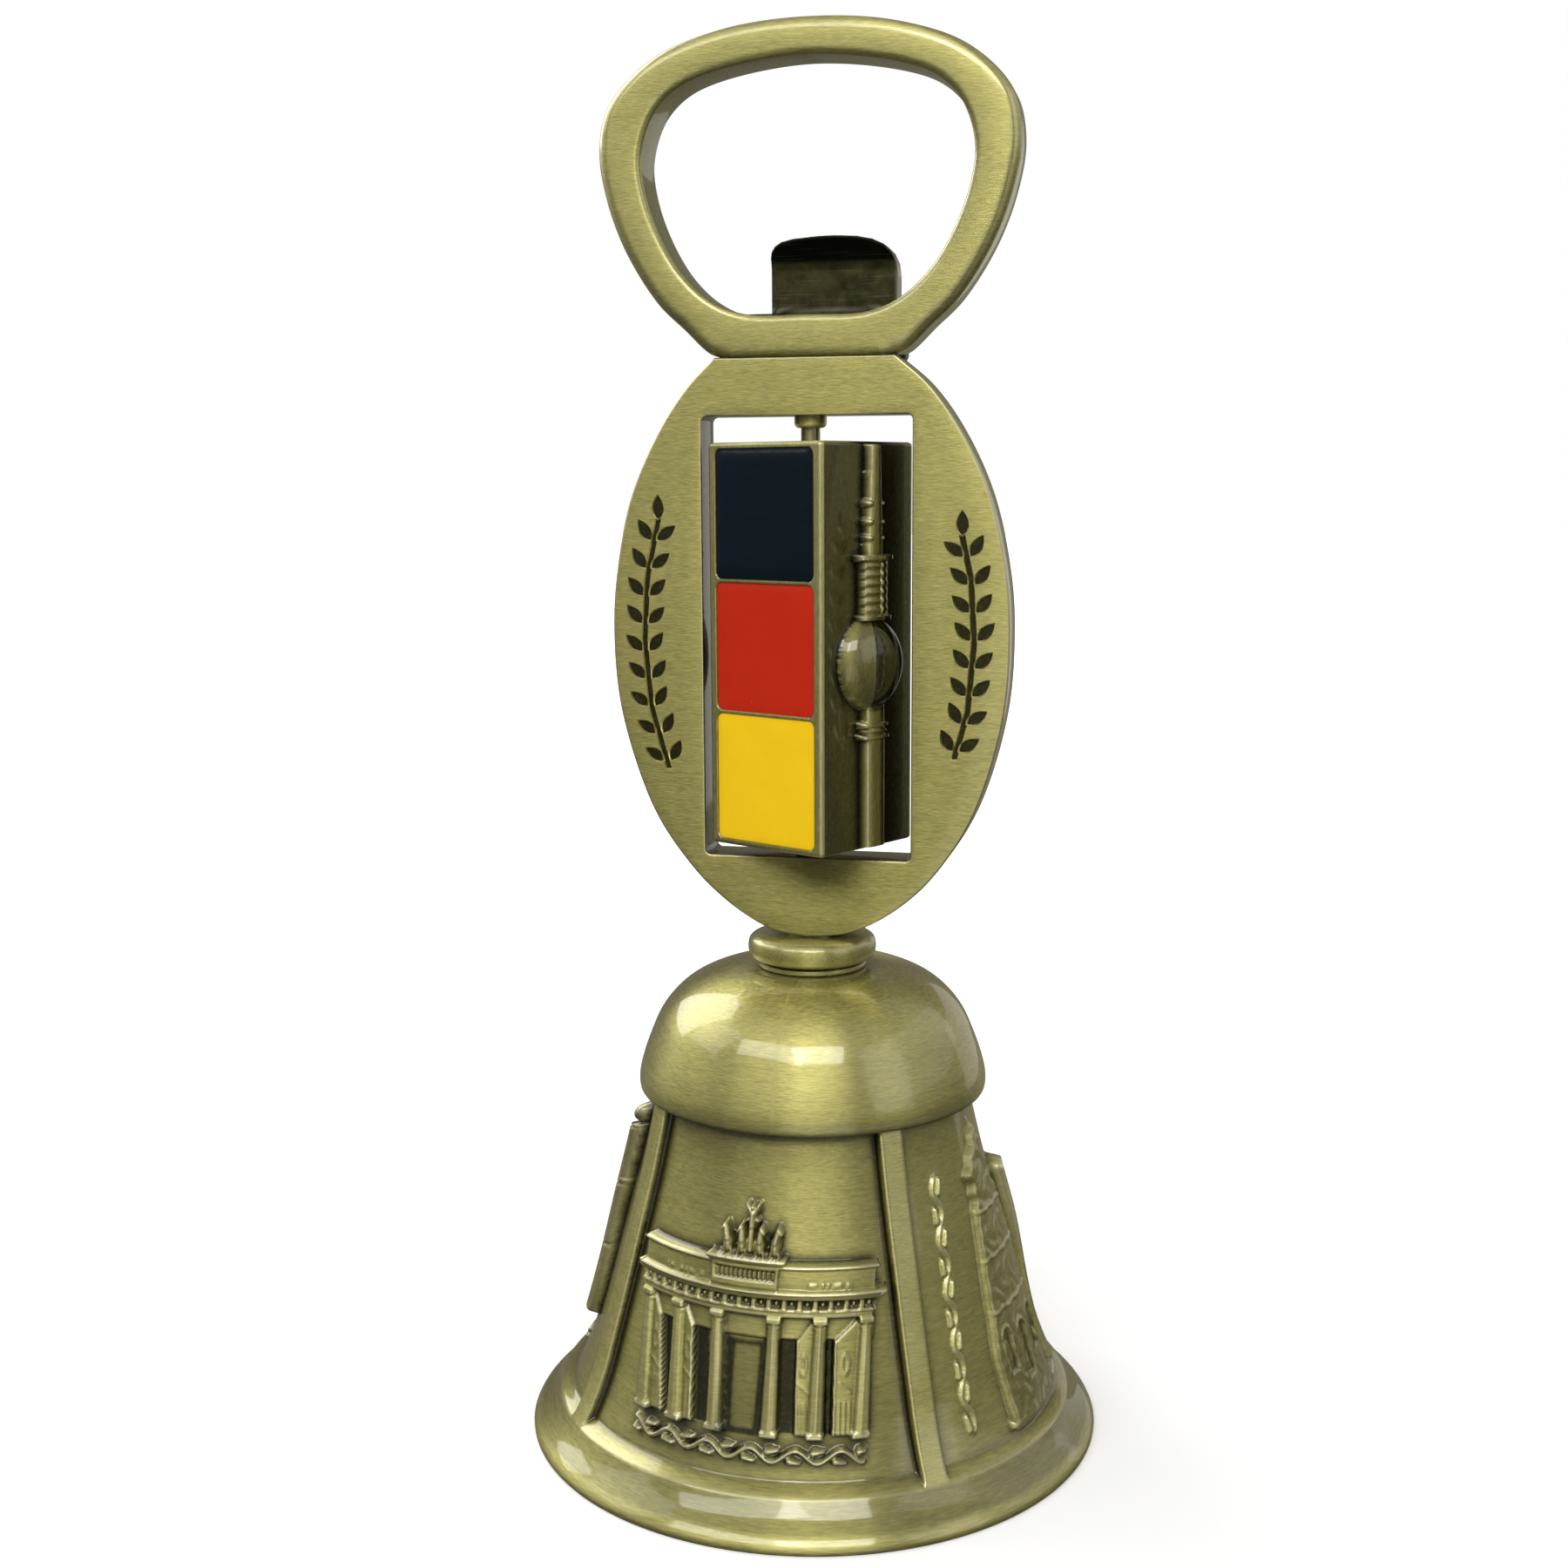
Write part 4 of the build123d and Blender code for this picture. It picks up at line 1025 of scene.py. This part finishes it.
for k in steps[::-1]:
    d = RING_ROUND_IN * (1 - math.cos(k))
    loop = by_angle(offset(ring_hole, d), RING_CENTRE, inner_angles)
    rows.append((loop, -RING_Y + RING_ROUND_IN * (1 - math.sin(k))))
rows += [(loop, -y) for loop, y in rows[::-1]]
verts, faces = loop_mesh(rows)
ring = brass_piece("opener_ring_body", verts, faces, ROOT, "opener_ring", {}, 50)


def ring_paint(x, y, z):
    centre_r = np.hypot(x, z - RING_CENTRE[1])
    seam = np.exp(-(((z - SEAM_Z) / 0.22) ** 2)) * (np.abs(x) < 8.4)
    inner_wall = np.interp(np.arctan2(z - RING_CENTRE[1], x), *hole_table)
    wall = smooth((inner_wall + 0.45 - centre_r) / 0.3) * smooth((2.1 - np.abs(y)) / 0.5)
    patina_and_shade = np.clip(0.75 * seam + 0.60 * wall, 0, 1)
    # Brightening along the rounded edges of both faces: a painted highlight, with wear.
    edge = 0.30 * np.exp(-(((np.abs(y) - 2.15) / 0.20) ** 2)) * (z > SEAM_Z + 0.6)
    return patina_and_shade, edge


hole_x, hole_z = (r_in - RING_CENTRE).T
hole_angle = np.arctan2(hole_z, hole_x)
order = np.argsort(hole_angle)
hole_table = (hole_angle[order], np.hypot(hole_x, hole_z)[order])
paint_flat(ring, ring_paint)

# ----------------------------------------------------- opener lip and rivets
TONGUE = (-3.8, 6.9)
BASE = (-7.0, 7.6, 92.2, 96.5)
BEND_Z = 100.2
LIP_ARCH = np.array([
    (-3.8, 101.0), (-3.7, 101.45), (-3.35, 101.9), (-2.8, 102.2), (-1.8, 102.42), (0.4, 102.58), (1.8, 102.6),
    (3.6, 102.5), (4.9, 102.25), (5.8, 101.85), (6.45, 101.2), (6.8, 100.4), (6.9, 99.4),
])


def opener_sheet():
    """The steel lip: a sheet rising from its base plate, arched on top and bent forward above the bend."""
    across = np.sort(np.concatenate([np.linspace(*TONGUE, 34), LIP_ARCH[:4, 0] + 0.01, LIP_ARCH[-5:-1, 0]]))
    top = np.interp(across, LIP_ARCH[:, 0], LIP_ARCH[:, 1])
    s = np.concatenate([np.linspace(0, 0.7, 24), np.linspace(0.72, 1.0, 22)])[:, None]
    z = BASE[2] + 0.1 + s * (top - BASE[2] - 0.1)[None]
    x = np.broadcast_to(across[None], z.shape)
    over = np.clip(z - BEND_Z + 0.3, 0, None)
    y = RING_Y + 0.02 - 0.42 * over * over / (over + 0.5)
    layers = [np.stack([x, y + side, z], -1) for side in (0.0, PLATE_T)]
    rows, cols = z.shape
    verts = np.concatenate([layer.reshape(-1, 3) for layer in layers])
    front = grid_faces(rows, cols)
    off = rows * cols
    faces = front.tolist() + (off + front[:, ::-1]).tolist()
    rim = [r * cols for r in range(rows)] + [(rows - 1) * cols + c for c in range(1, cols)]
    rim += [r * cols + cols - 1 for r in range(rows - 2, -1, -1)] + list(range(cols - 2, 0, -1))
    faces += [(a, a + off, b + off, b) for a, b in zip(rim, rim[1:] + rim[:1])]
    return verts, faces


def lip_paint(x, y, z):
    top = np.interp(x, LIP_ARCH[:, 0], LIP_ARCH[:, 1])
    # Painted shade: the sheet above the bend is near-black.
    upper = smooth((z - BEND_Z - 0.2) / 0.35)
    patina_and_shade = np.clip(0.92 * upper + 0.30 * smooth((97.8 - z) / 1.4), 0, 1)
    # Painted highlights on the lip's right side and along its crest; both lift the painted shade under them.
    side = smooth((x - TONGUE[1] + 0.16) / 0.12) * smooth((z - 96.6) / 0.4)
    lit_crest = smooth((z - top + 0.16) / 0.12) * (z > 99)
    seam = np.exp(-(((z - 96.75) / 0.12) ** 2)) * (y < RING_Y + 0.3)
    edge = np.clip(0.48 * side + 0.40 * lit_crest + 0.4 * seam, 0, 1)
    return patina_and_shade * (1 - side) * (1 - lit_crest), edge


def steel_part(name, verts, faces, soft_edge):
    """A piece of the steel plate with its edges softened by soft_edge mm."""
    obj = finish_mesh(name, verts, faces, "burnished_steel", ROOT, ["opener_plate"], {}, 40)
    mod = obj.modifiers.new("soft_edges", "BEVEL")
    mod.width = soft_edge * MM
    mod.segments = 3
    mod.limit_method = "ANGLE"
    mod.angle_limit = math.radians(40)
    mod.harden_normals = False
    bake_modifiers(obj)
    paint_flat(obj, lip_paint)


steel_part("opener_lip", *opener_sheet(), 0.16)
steel_part("opener_lip_base", *prism([rounded_box(*BASE, 0.8, 8)], RING_Y, RING_Y + PLATE_T + 0.02), 0.25)
RIVET_HEAD = [
    (0.9, -3.0), (0.9, 0.0), (1.5, 0.0), (1.5, 0.08), (1.42, 0.3), (1.15, 0.56), (0.7, 0.76), (0.02, 0.85),
]
for label, x in (("left", -5.3), ("right", 5.9)):
    place = Matrix.Translation((x, RING_Y + PLATE_T, 94.4)) @ Matrix.Rotation(-math.pi / 2, 4, "X")
    lathe(f"rivet_{label}", RIVET_HEAD, "burnished_steel", [f"opener_rivet_{label}"], n=40, place=place,
          edge=[0, 0, 0.2, 0.4, 0.3, 0.15, 0.2, 0.3], sharp=60)

# ------------------------------------------------------------ spinner block
FIELD_HW = 5.3
FIELD_GAP = 0.28
FIELD_TOP = BLOCK_Z1 - 0.5
FIELD_H = (BLOCK_Z1 - BLOCK_Z0 - 1.0 - 2 * FIELD_GAP) / 3
POCKET = 0.38
CORNER_R = 0.42
END_ROUND = 0.3
BALL_U, BALL_Z, BALL_R = -0.15, 67.6, 3.95


def field_boxes():
    tops = [FIELD_TOP - i * (FIELD_H + FIELD_GAP) for i in range(3)]
    return [(top - FIELD_H, top) for top in tops]


def rounded_distance(x, z, hx, hz, r):
    """Distance inside a rounded rectangle, positive inside."""
    qx, qz = np.abs(x) - hx + r, np.abs(z) - hz + r
    outside = np.hypot(np.maximum(qx, 0), np.maximum(qz, 0))
    return r - outside - np.minimum(np.maximum(qx, qz), 0)


def mast_ball(u, z):
    """How far out from the ball's centre, 0..1, and how far round the ball, -1..1."""
    across = np.sqrt(np.clip(1 - ((z - BALL_Z) / 4.0) ** 2, 0.02, 1))
    return np.hypot(u - BALL_U, z - BALL_Z) / BALL_R, (u - BALL_U) / (BALL_R * across)


def mast_relief(u, z):
    """A round broadcast mast with a ball, in relief on a side of the block."""
    def barrel(w, z0, z1, top, soft=0.08):
        return top * np.clip(1 - (np.abs(u) / w) ** 4, 0, 1) ** 0.25 * band(z, z0, z1, soft)

    ball, gore = mast_ball(u, z)
    h = stack(barrel(1.25, 52.25, 61.6, 1.05), barrel(1.75, 61.35, 61.75, 1.25),
              barrel(1.5, 61.9, 62.2, 1.15), barrel(1.2, 61.5, 65.0, 1.05), barrel(1.62, 62.3, 62.75, 1.2),
              2.22 * np.clip(1 - ball**2.4, 0, 1) ** 0.6)
    for line in (-0.38, 0.38):
        h += 0.05 * smooth((0.05 - np.abs(gore - line)) / 0.03) * (ball < 0.97)
    h = stack(h, barrel(1.9, 71.15, 71.6, 1.35), barrel(1.6, 71.5, 76.1, 1.15))
    lattice = rect(u, z, -1.45, 1.45, 71.7, 76.0, 0.1)
    h -= 0.14 * lattice * (0.5 + 0.5 * np.cos((z - 71.7) * 2 * math.pi / 0.72))
    h -= 0.16 * lattice * smooth((0.12 - np.abs(u - 0.35)) / 0.1)
    taper = 0.98 - 0.34 * np.clip((z - 76.5) / 9.0, 0, 1)
    h = stack(h, barrel(2.15, 76.05, 76.55, 1.35), barrel(taper, 76.4, 85.45, 0.95, 0.1))
    for zc in (77.9, 79.2, 80.7):
        h = stack(h, 1.05 * blob(u, z, -0.75, zc, 0.42, 0.36), 1.05 * blob(u, z, 0.75, zc, 0.42, 0.36))
    return h


def mast_side(px, pz, on_face):
    """Height, patina and edge of a side with the mast, with painted shade and a painted highlight on the
    ball.
    """
    h = mast_relief(px, pz) * on_face
    ball, gore = mast_ball(px, pz)
    on_ball = (ball < 1.0) * on_face
    patina_and_shade = np.clip((blur(h, 3.2) - h) * 1.6, 0, 1) + on_face * (0.52 * (h < 0.05) + 0.22 * (ball > 1))
    # Painted shading of the ball: lightest on its left gore, darker on the middle and right gores.
    gore_shade = 0.55 + 0.37 * (np.abs(gore) < 0.38) + 0.42 * (gore > 0.38)
    patina_and_shade = patina_and_shade * (1 - on_ball) + on_ball * gore_shade
    edge = np.clip((h - blur(h, 2.0)) * 2.2 - 0.04, 0, 1) * (1 - on_ball)
    # A painted highlight down the ball's right rim.
    return h, patina_and_shade, stack(edge, 0.8 * on_ball * smooth((gore - 0.93) / 0.04))


def field_side(px, pz, on_face):
    """Height, patina and edge of a side with three pockets for the enamel."""
    h = np.zeros(px.shape)
    for z0, z1 in field_boxes():
        d = rounded_distance(px, pz - (z0 + z1) / 2, FIELD_HW, (z1 - z0) / 2, 0.6)
        h = np.minimum(h, -POCKET * smooth(d / 0.12 + 0.3))
    wobble = 0.02 * np.sin(pz * 3.1 + px) + 0.015 * np.sin(pz * 7.7)
    patina_and_shade = np.clip(0.20 + wobble + (h < -0.2) * 0.8, 0, 1) * on_face + 0.15 * (1 - on_face)
    return h, patina_and_shade, 0.12 * (h > -0.02) * on_face


def block_side(index, relief):
    """One side of the block with half of each rounded upright edge; returns its outline from above."""
    flat = BLOCK_HALF - CORNER_R
    coarse = 1
    if relief is mast_side:
        step = 0.11 * coarse
        mid = np.linspace(-flat, flat, int(2 * flat / step))
    else:
        step = 0.08 * coarse
        right_wall = np.linspace(FIELD_HW - 0.16, FIELD_HW + 0.12, 6)
        floor_points = np.linspace(-FIELD_HW + 0.22, FIELD_HW - 0.22, 90)
        mid = np.concatenate([[-flat], -right_wall[::-1], floor_points, right_wall, [flat]])
    arc = np.radians(np.linspace(45, 0, 7))
    corner = np.stack([flat + CORNER_R * np.sin(arc), -flat - CORNER_R * np.cos(arc)], 1)
    middle = np.stack([mid, np.full(len(mid), -BLOCK_HALF)], 1)
    path = np.vstack([(corner * (-1, 1))[:-1], middle, corner[::-1][1:]])
    a = np.linspace(0, math.pi / 2, 5)
    rise, draw = END_ROUND * (1 - np.cos(a)), END_ROUND * (1 - np.sin(a))
    zs = np.arange(BLOCK_Z0 + END_ROUND, BLOCK_Z1 - END_ROUND, step)
    z_rows = np.concatenate([BLOCK_Z0 + rise, zs, BLOCK_Z1 - rise[::-1]])
    pull = np.concatenate([draw, np.zeros(len(zs)), draw[::-1]])
    pz, px = np.meshgrid(z_rows, path[:, 0], indexing="ij")
    shrink = 1 - pull[:, None] / BLOCK_HALF
    h, patina_and_shade, edge = relief(px, pz, (np.abs(px) <= flat + 1e-6).astype(float))
    edge = edge + 0.45 * np.exp(-(((np.abs(px) - flat - 0.3) / 0.35) ** 2))
    py = np.broadcast_to(path[:, 1], px.shape)
    turned = index * math.pi / 2 + BLOCK_TURN
    verts = turn(np.stack([px * shrink, (py - h) * shrink, pz], -1).reshape(-1, 3), turned)
    brush = np.stack([pz, px + 20 * index, py], -1).reshape(-1, 3)
    attrs = {"brush": brush, "patina_and_shade": np.clip(patina_and_shade, 0, 1).ravel(), "edge": np.clip(edge, 0, 1).ravel()}
    brass_piece(f"block_side_{index}", verts, grid_faces(*px.shape), SPINNER, "spinner_block", attrs, 50)
    return turn(np.column_stack([path, np.zeros(len(path))]), turned)[:-1, :2]


outline = [block_side(i, relief) for i, relief in enumerate((field_side, mast_side, field_side, mast_side))]
outline = np.vstack(outline) * (1 - END_ROUND / BLOCK_HALF)
for label, z in (("top", BLOCK_Z1), ("bottom", BLOCK_Z0)):
    rings = [outline * k for k in np.linspace(1, 0.22, 7)]
    a = np.arctan2(outline[:, 1], outline[:, 0])
    rings.append(np.stack([PIN_R * np.cos(a), PIN_R * np.sin(a)], 1))
    pts = np.concatenate(rings)
    verts = np.column_stack([pts, np.full(len(pts), z)])
    faces = grid_faces(len(rings), len(outline), close_cols=True)
    faces = faces[:, ::-1] if label == "bottom" else faces
    from_pin = np.hypot(pts[:, 0], pts[:, 1]) - PIN_R
    end_patina = np.clip(0.25 + 0.5 * np.exp(-from_pin / 0.5), 0, 1)
    end_attrs = {"brush": verts, "patina_and_shade": end_patina, "edge": np.zeros(len(verts))}
    brass_piece(f"block_{label}", verts, faces, SPINNER, "spinner_block", end_attrs)

for face_name, side in (("front", 0), ("back", 2)):
    for colour, (z0, z1) in zip(("black", "red", "gold"), field_boxes()):
        loop = rounded_box(-FIELD_HW + 0.02, FIELD_HW - 0.02, z0 + 0.02, z1 - 0.02, 0.58, 9)
        loop = densify(loop, 0.5)
        cz = (z0 + z1) / 2
        insets = np.concatenate([[0, 0.05, 0.12, 0.22, 0.36, 0.6, 1.0], np.linspace(1.6, 5.0, 8)])
        rows = [np.column_stack([loop[:, 0], np.full(len(loop), -BLOCK_HALF + POCKET), loop[:, 1]])]
        for d in insets:
            k = 1 - d / 5.2
            y = -BLOCK_HALF + 0.13 - 0.10 * smooth(d / 0.6) + 0.015 * smooth((d - 1) / 3)
            rows.append(np.column_stack([loop[:, 0] * k, np.full(len(loop), y), cz + (loop[:, 1] - cz) * k]))
        verts = np.vstack(rows + [[(0, -BLOCK_HALF + 0.045, cz)]])
        base, tip = (len(rows) - 1) * len(loop), len(verts) - 1
        faces = grid_faces(len(rows), len(loop), close_cols=True).tolist()
        faces += [(base + i, base + (i + 1) % len(loop), tip) for i in range(len(loop))]
        attrs = {"brush": flat_brush(verts)}
        verts = turn(verts, side * math.pi / 2 + BLOCK_TURN)
        finish_mesh(f"enamel_{colour}_{face_name}_field", verts, faces, f"enamel_{colour}", SPINNER,
                    [f"enamel_{colour}_{face_name}"], attrs)

# -------------------------------------------------------- pins, bushes, eye
lathe("upper_pin", [(0.0, 83.6), (PIN_R, 83.6), (PIN_R, 90.3), (0.7, 90.4), (0.0, 90.4)], "pin_brass",
      ["upper_pivot_pin"], SPINNER, 48, sharp=40)
lathe("lower_pin", [(0.0, 49.2), (0.7, 49.2), (PIN_R, 49.3), (PIN_R, 54.0), (0.0, 54.0)], "pin_brass",
      ["lower_pivot_pin"], SPINNER, 48, sharp=40)
upper_boss = [(BUSH_BORE, 90.6), (BUSH_BORE, 86.95), (0.95, 86.9), (1.12, 86.93), (1.28, 87.06), (1.35, 87.3),
              (1.35, 87.9), (1.1, 87.92), (1.1, 90.6)]
lathe("upper_bush", upper_boss, "antique_brass", ["upper_pivot_bush"], n=64, sharp=50,
      patina_and_shade=[0.9, 0.9, 0.5, 0.1, 0, 0, 0.5, 0.8, 0.8], edge=[0, 0, 0.2, 0.4, 0.4, 0, 0, 0, 0])
lower_boss = [(1.1, 48.75), (1.1, 50.78), (1.35, 50.8), (1.35, 51.5), (1.2, 51.66), (0.95, 51.7),
              (BUSH_BORE, 51.65), (BUSH_BORE, 48.75)]
lathe("lower_bush", lower_boss, "antique_brass", ["lower_pivot_bush"], n=64, sharp=50,
      patina_and_shade=[0.8, 0.8, 0.6, 0.2, 0.2, 0.5, 0.9, 0.9])

lathe("crown_washer_disc", [(1.25, 38.1), (3.45, 38.1), (3.6, 38.2), (3.6, 38.8), (3.45, 38.9), (1.25, 38.9)],
      "plated_steel", ["crown_washer"], n=64, sharp=40)
EYE_Z, EYE_R, EYE_WIRE = 35.0, 1.9, 0.65
nut = [(1.2, 37.2), (2.15, 37.2), (2.3, 37.25), (2.3, 38.02), (2.15, 38.1), (1.2, 38.1)]
lathe("eye_nut", nut, "plated_steel", ["eye_screw"], n=6, sharp=20)
shank = [(1.0, 36.8), (1.2, 37.1), (1.2, 38.2)]
for i in range(31):
    z = 38.3 + i * 0.3
    shank += [(1.2, z), (1.05, z + 0.15)]
shank += [(0.9, 47.5), (0.0, 47.6)]
lathe("eye_shank", shank, "plated_steel", ["eye_screw"], n=40, sharp=70)


def ring_path(radius, z):
    """A round loop of wire standing in the XZ plane."""
    a = np.linspace(0, 2 * math.pi, 72, endpoint=False)
    return np.stack([radius * np.sin(a), 0 * a, z + radius * np.cos(a)], 1)


tube("eye_loop", ring_path(EYE_R, EYE_Z), EYE_WIRE, "plated_steel", ["eye_screw"], ROOT)

LINK_WIRE, LINK_BEND, LINK_LEN, RUN = 0.5, 1.5, 6.0, 0.03
LINK_TOP = EYE_Z - EYE_R + EYE_WIRE + LINK_WIRE + RUN
upper_c, lower_c = LINK_TOP - LINK_BEND, LINK_TOP - LINK_LEN + LINK_BEND
a = np.linspace(0, math.pi, 28)
bend = np.stack([0 * a, LINK_BEND * np.cos(a), LINK_BEND * np.sin(a)], 1)
link = np.vstack([bend + (0, 0, upper_c), -bend + (0, 0, lower_c)])
tube("clapper_link_wire", link, LINK_WIRE, "plated_steel", ["clapper_link"], "link")
HANG_WIRE, HANG_R = 0.55, 1.7
HANG_TOP = LINK_TOP - LINK_LEN + LINK_WIRE + HANG_WIRE + RUN
hang_loop = ring_path(HANG_R, HANG_TOP - HANG_R)
tube("clapper_eye", hang_loop, HANG_WIRE, "clapper_brass", ["clapper"], "clapper_body")
stem_top = HANG_TOP - 2 * HANG_R + 0.1
STRIKER_R, STRIKER_Z = 3.4, 8.0
ball_a = np.linspace(math.radians(14), math.pi - 0.02, 40)
clapper_profile = [(0.0, stem_top), (0.8, stem_top - 0.05), (0.8, 13.0), (0.95, 12.0)]
clapper_profile += [(STRIKER_R * math.sin(t), STRIKER_Z + STRIKER_R * math.cos(t)) for t in ball_a]
lathe("clapper_ball", clapper_profile, "clapper_brass", ["clapper"], "clapper_body", 72, sharp=60)

# ------------------------------------------------ floor, light and camera
bpy.ops.mesh.primitive_plane_add(size=6.0, location=(0, 0, 0))
floor = bpy.context.object
floor.name = "studio_floor"
mat, tree, shader = node_tree("studio_white")
shader.inputs["Base Color"].default_value = (0.9, 0.9, 0.9, 1)
shader.inputs["Roughness"].default_value = 0.9
shader.inputs["Specular IOR Level"].default_value = 0.1
shader.inputs["Emission Color"].default_value = (1, 1, 1, 1)
far = tree.nodes.new("ShaderNodeVectorMath")
far.operation = "LENGTH"
tree.links.new(tree.nodes.new("ShaderNodeTexCoord").outputs["Object"], far.inputs[0])
glow = math_node(tree, "MULTIPLY_ADD", math_node(tree, "SUBTRACT", far.outputs["Value"], 0.1), 1.6, 0.35)
tree.links.new(math_node(tree, "MINIMUM", glow, 1.2), shader.inputs["Emission Strength"])
floor.data.materials.append(mat)
floor.visible_glossy = False

AZIMUTH = math.radians(12.0)
world = bpy.data.worlds.new("studio")
bpy.context.scene.world = world
world.use_nodes = True
tree = world.node_tree
tree.nodes.clear()
w_out = tree.nodes.new("ShaderNodeOutputWorld")
room = tree.nodes.new("ShaderNodeBackground")
direction = tree.nodes.new("ShaderNodeTexCoord")
split = tree.nodes.new("ShaderNodeSeparateXYZ")
ramp = tree.nodes.new("ShaderNodeValToRGB")
tree.links.new(direction.outputs["Generated"], split.inputs[0])
tree.links.new(math_node(tree, "MULTIPLY_ADD", split.outputs["Z"], 0.5, 0.5), ramp.inputs[0])
SKY = (
    (0.0, 0.06), (0.44, 0.07), (0.50, 0.16), (0.60, 0.30),
    (0.75, 0.41), (0.87, 0.45), (0.95, 0.36), (1.0, 0.02),
)
while len(ramp.color_ramp.elements) < len(SKY):
    ramp.color_ramp.elements.new(0.5)
for stop, (where, level) in zip(ramp.color_ramp.elements, SKY):
    stop.position = where
    stop.color = (level, level * 0.99, level * 0.97, 1)
behind = tree.nodes.new("ShaderNodeVectorMath")
behind.operation = "DOT_PRODUCT"
behind.inputs[1].default_value = (-math.sin(AZIMUTH), math.cos(AZIMUTH), 0.15)
tree.links.new(direction.outputs["Generated"], behind.inputs[0])
toward_paper = math_node(tree, "SUBTRACT", behind.outputs["Value"], 0.58)
paper = math_node(tree, "MULTIPLY", toward_paper, 7.0, clamp=True)
room_light = mix_colour(tree, paper, ramp.outputs[0], (0.19, 0.175, 0.13))
tree.links.new(room_light, room.inputs["Color"])
backdrop = tree.nodes.new("ShaderNodeBackground")
backdrop.inputs["Color"].default_value = (1, 1, 1, 1)
paths = tree.nodes.new("ShaderNodeLightPath")
choose = tree.nodes.new("ShaderNodeMixShader")
tree.links.new(paths.outputs["Is Camera Ray"], choose.inputs[0])
tree.links.new(room.outputs[0], choose.inputs[1])
tree.links.new(backdrop.outputs[0], choose.inputs[2])
tree.links.new(choose.outputs[0], w_out.inputs["Surface"])


LIGHT_DISTANCE = 0.9
LIGHT_AIM = Vector((0, 0, 0.06))


def softbox(name, azimuth, elevation, wide, high, radiance):
    """A rectangular light at these angles in degrees; azimuth 0 is the camera's side, + is its right."""
    turn_by = AZIMUTH + math.radians(azimuth)
    up_by = math.radians(elevation)
    level = math.cos(up_by)
    away = Vector((math.sin(turn_by) * level, -math.cos(turn_by) * level, math.sin(up_by)))
    light = bpy.data.lights.new(name, "AREA")
    light.shape = "RECTANGLE"
    light.size = 2 * LIGHT_DISTANCE * math.tan(math.radians(wide / 2))
    light.size_y = 2 * LIGHT_DISTANCE * math.tan(math.radians(high / 2))
    light.energy = radiance * math.pi * light.size * light.size_y
    obj = bpy.data.objects.new(name, light)
    obj.location = LIGHT_AIM + away * LIGHT_DISTANCE
    obj.rotation_euler = (-away).to_track_quat("-Z", "Y").to_euler()
    bpy.context.scene.collection.objects.link(obj)


softbox("window_front", 5, 40, 32, 22, 5.0)
softbox("window_front_left", -34, 40, 46, 20, 3.5)
softbox("window_left", -128, 34, 34, 40, 2.8)
softbox("window_left_dim", -90, 34, 30, 30, 1.1)
softbox("wall_right_near", 54, 22, 28, 44, 0.55)
softbox("wall_right_far", 138, 3, 40, 26, 0.40)
softbox("wall_right", 82, 24, 86, 36, 0.40)
softbox("table_glow", 4, -20, 44, 34, 0.40)

CAMERA_DISTANCE, CAMERA_Z = 0.1625, 0.082215
CAMERA_SHIFT = 0.00017
pitch, yaw, roll = math.radians(8.867), math.radians(0.778), math.radians(-0.30)
fwd = Vector((-math.sin(yaw) * math.cos(pitch), math.cos(yaw) * math.cos(pitch), -math.sin(pitch)))
right = Vector((math.cos(yaw), math.sin(yaw), 0.0))
up = right.cross(fwd)
right, up = math.cos(roll) * right + math.sin(roll) * up, -math.sin(roll) * right + math.cos(roll) * up
spin = Matrix.Rotation(AZIMUTH, 3, "Z")
fwd, right, up = spin @ fwd, spin @ right, spin @ up
eye = Vector((math.sin(AZIMUTH) * CAMERA_DISTANCE, -math.cos(AZIMUTH) * CAMERA_DISTANCE, CAMERA_Z))
eye -= CAMERA_SHIFT * Vector((right.x, right.y, 0))
cam_data = bpy.data.cameras.new("camera")
cam_data.lens = 44.0
cam_data.sensor_width = 36.0
cam_data.clip_start = 0.01
camera = bpy.data.objects.new("camera", cam_data)
view = Matrix((right, up, -fwd)).transposed().to_4x4()
view.translation = eye
camera.matrix_world = view
bpy.context.scene.collection.objects.link(camera)
bpy.context.scene.camera = camera
bpy.context.scene.view_settings.view_transform = "Standard"
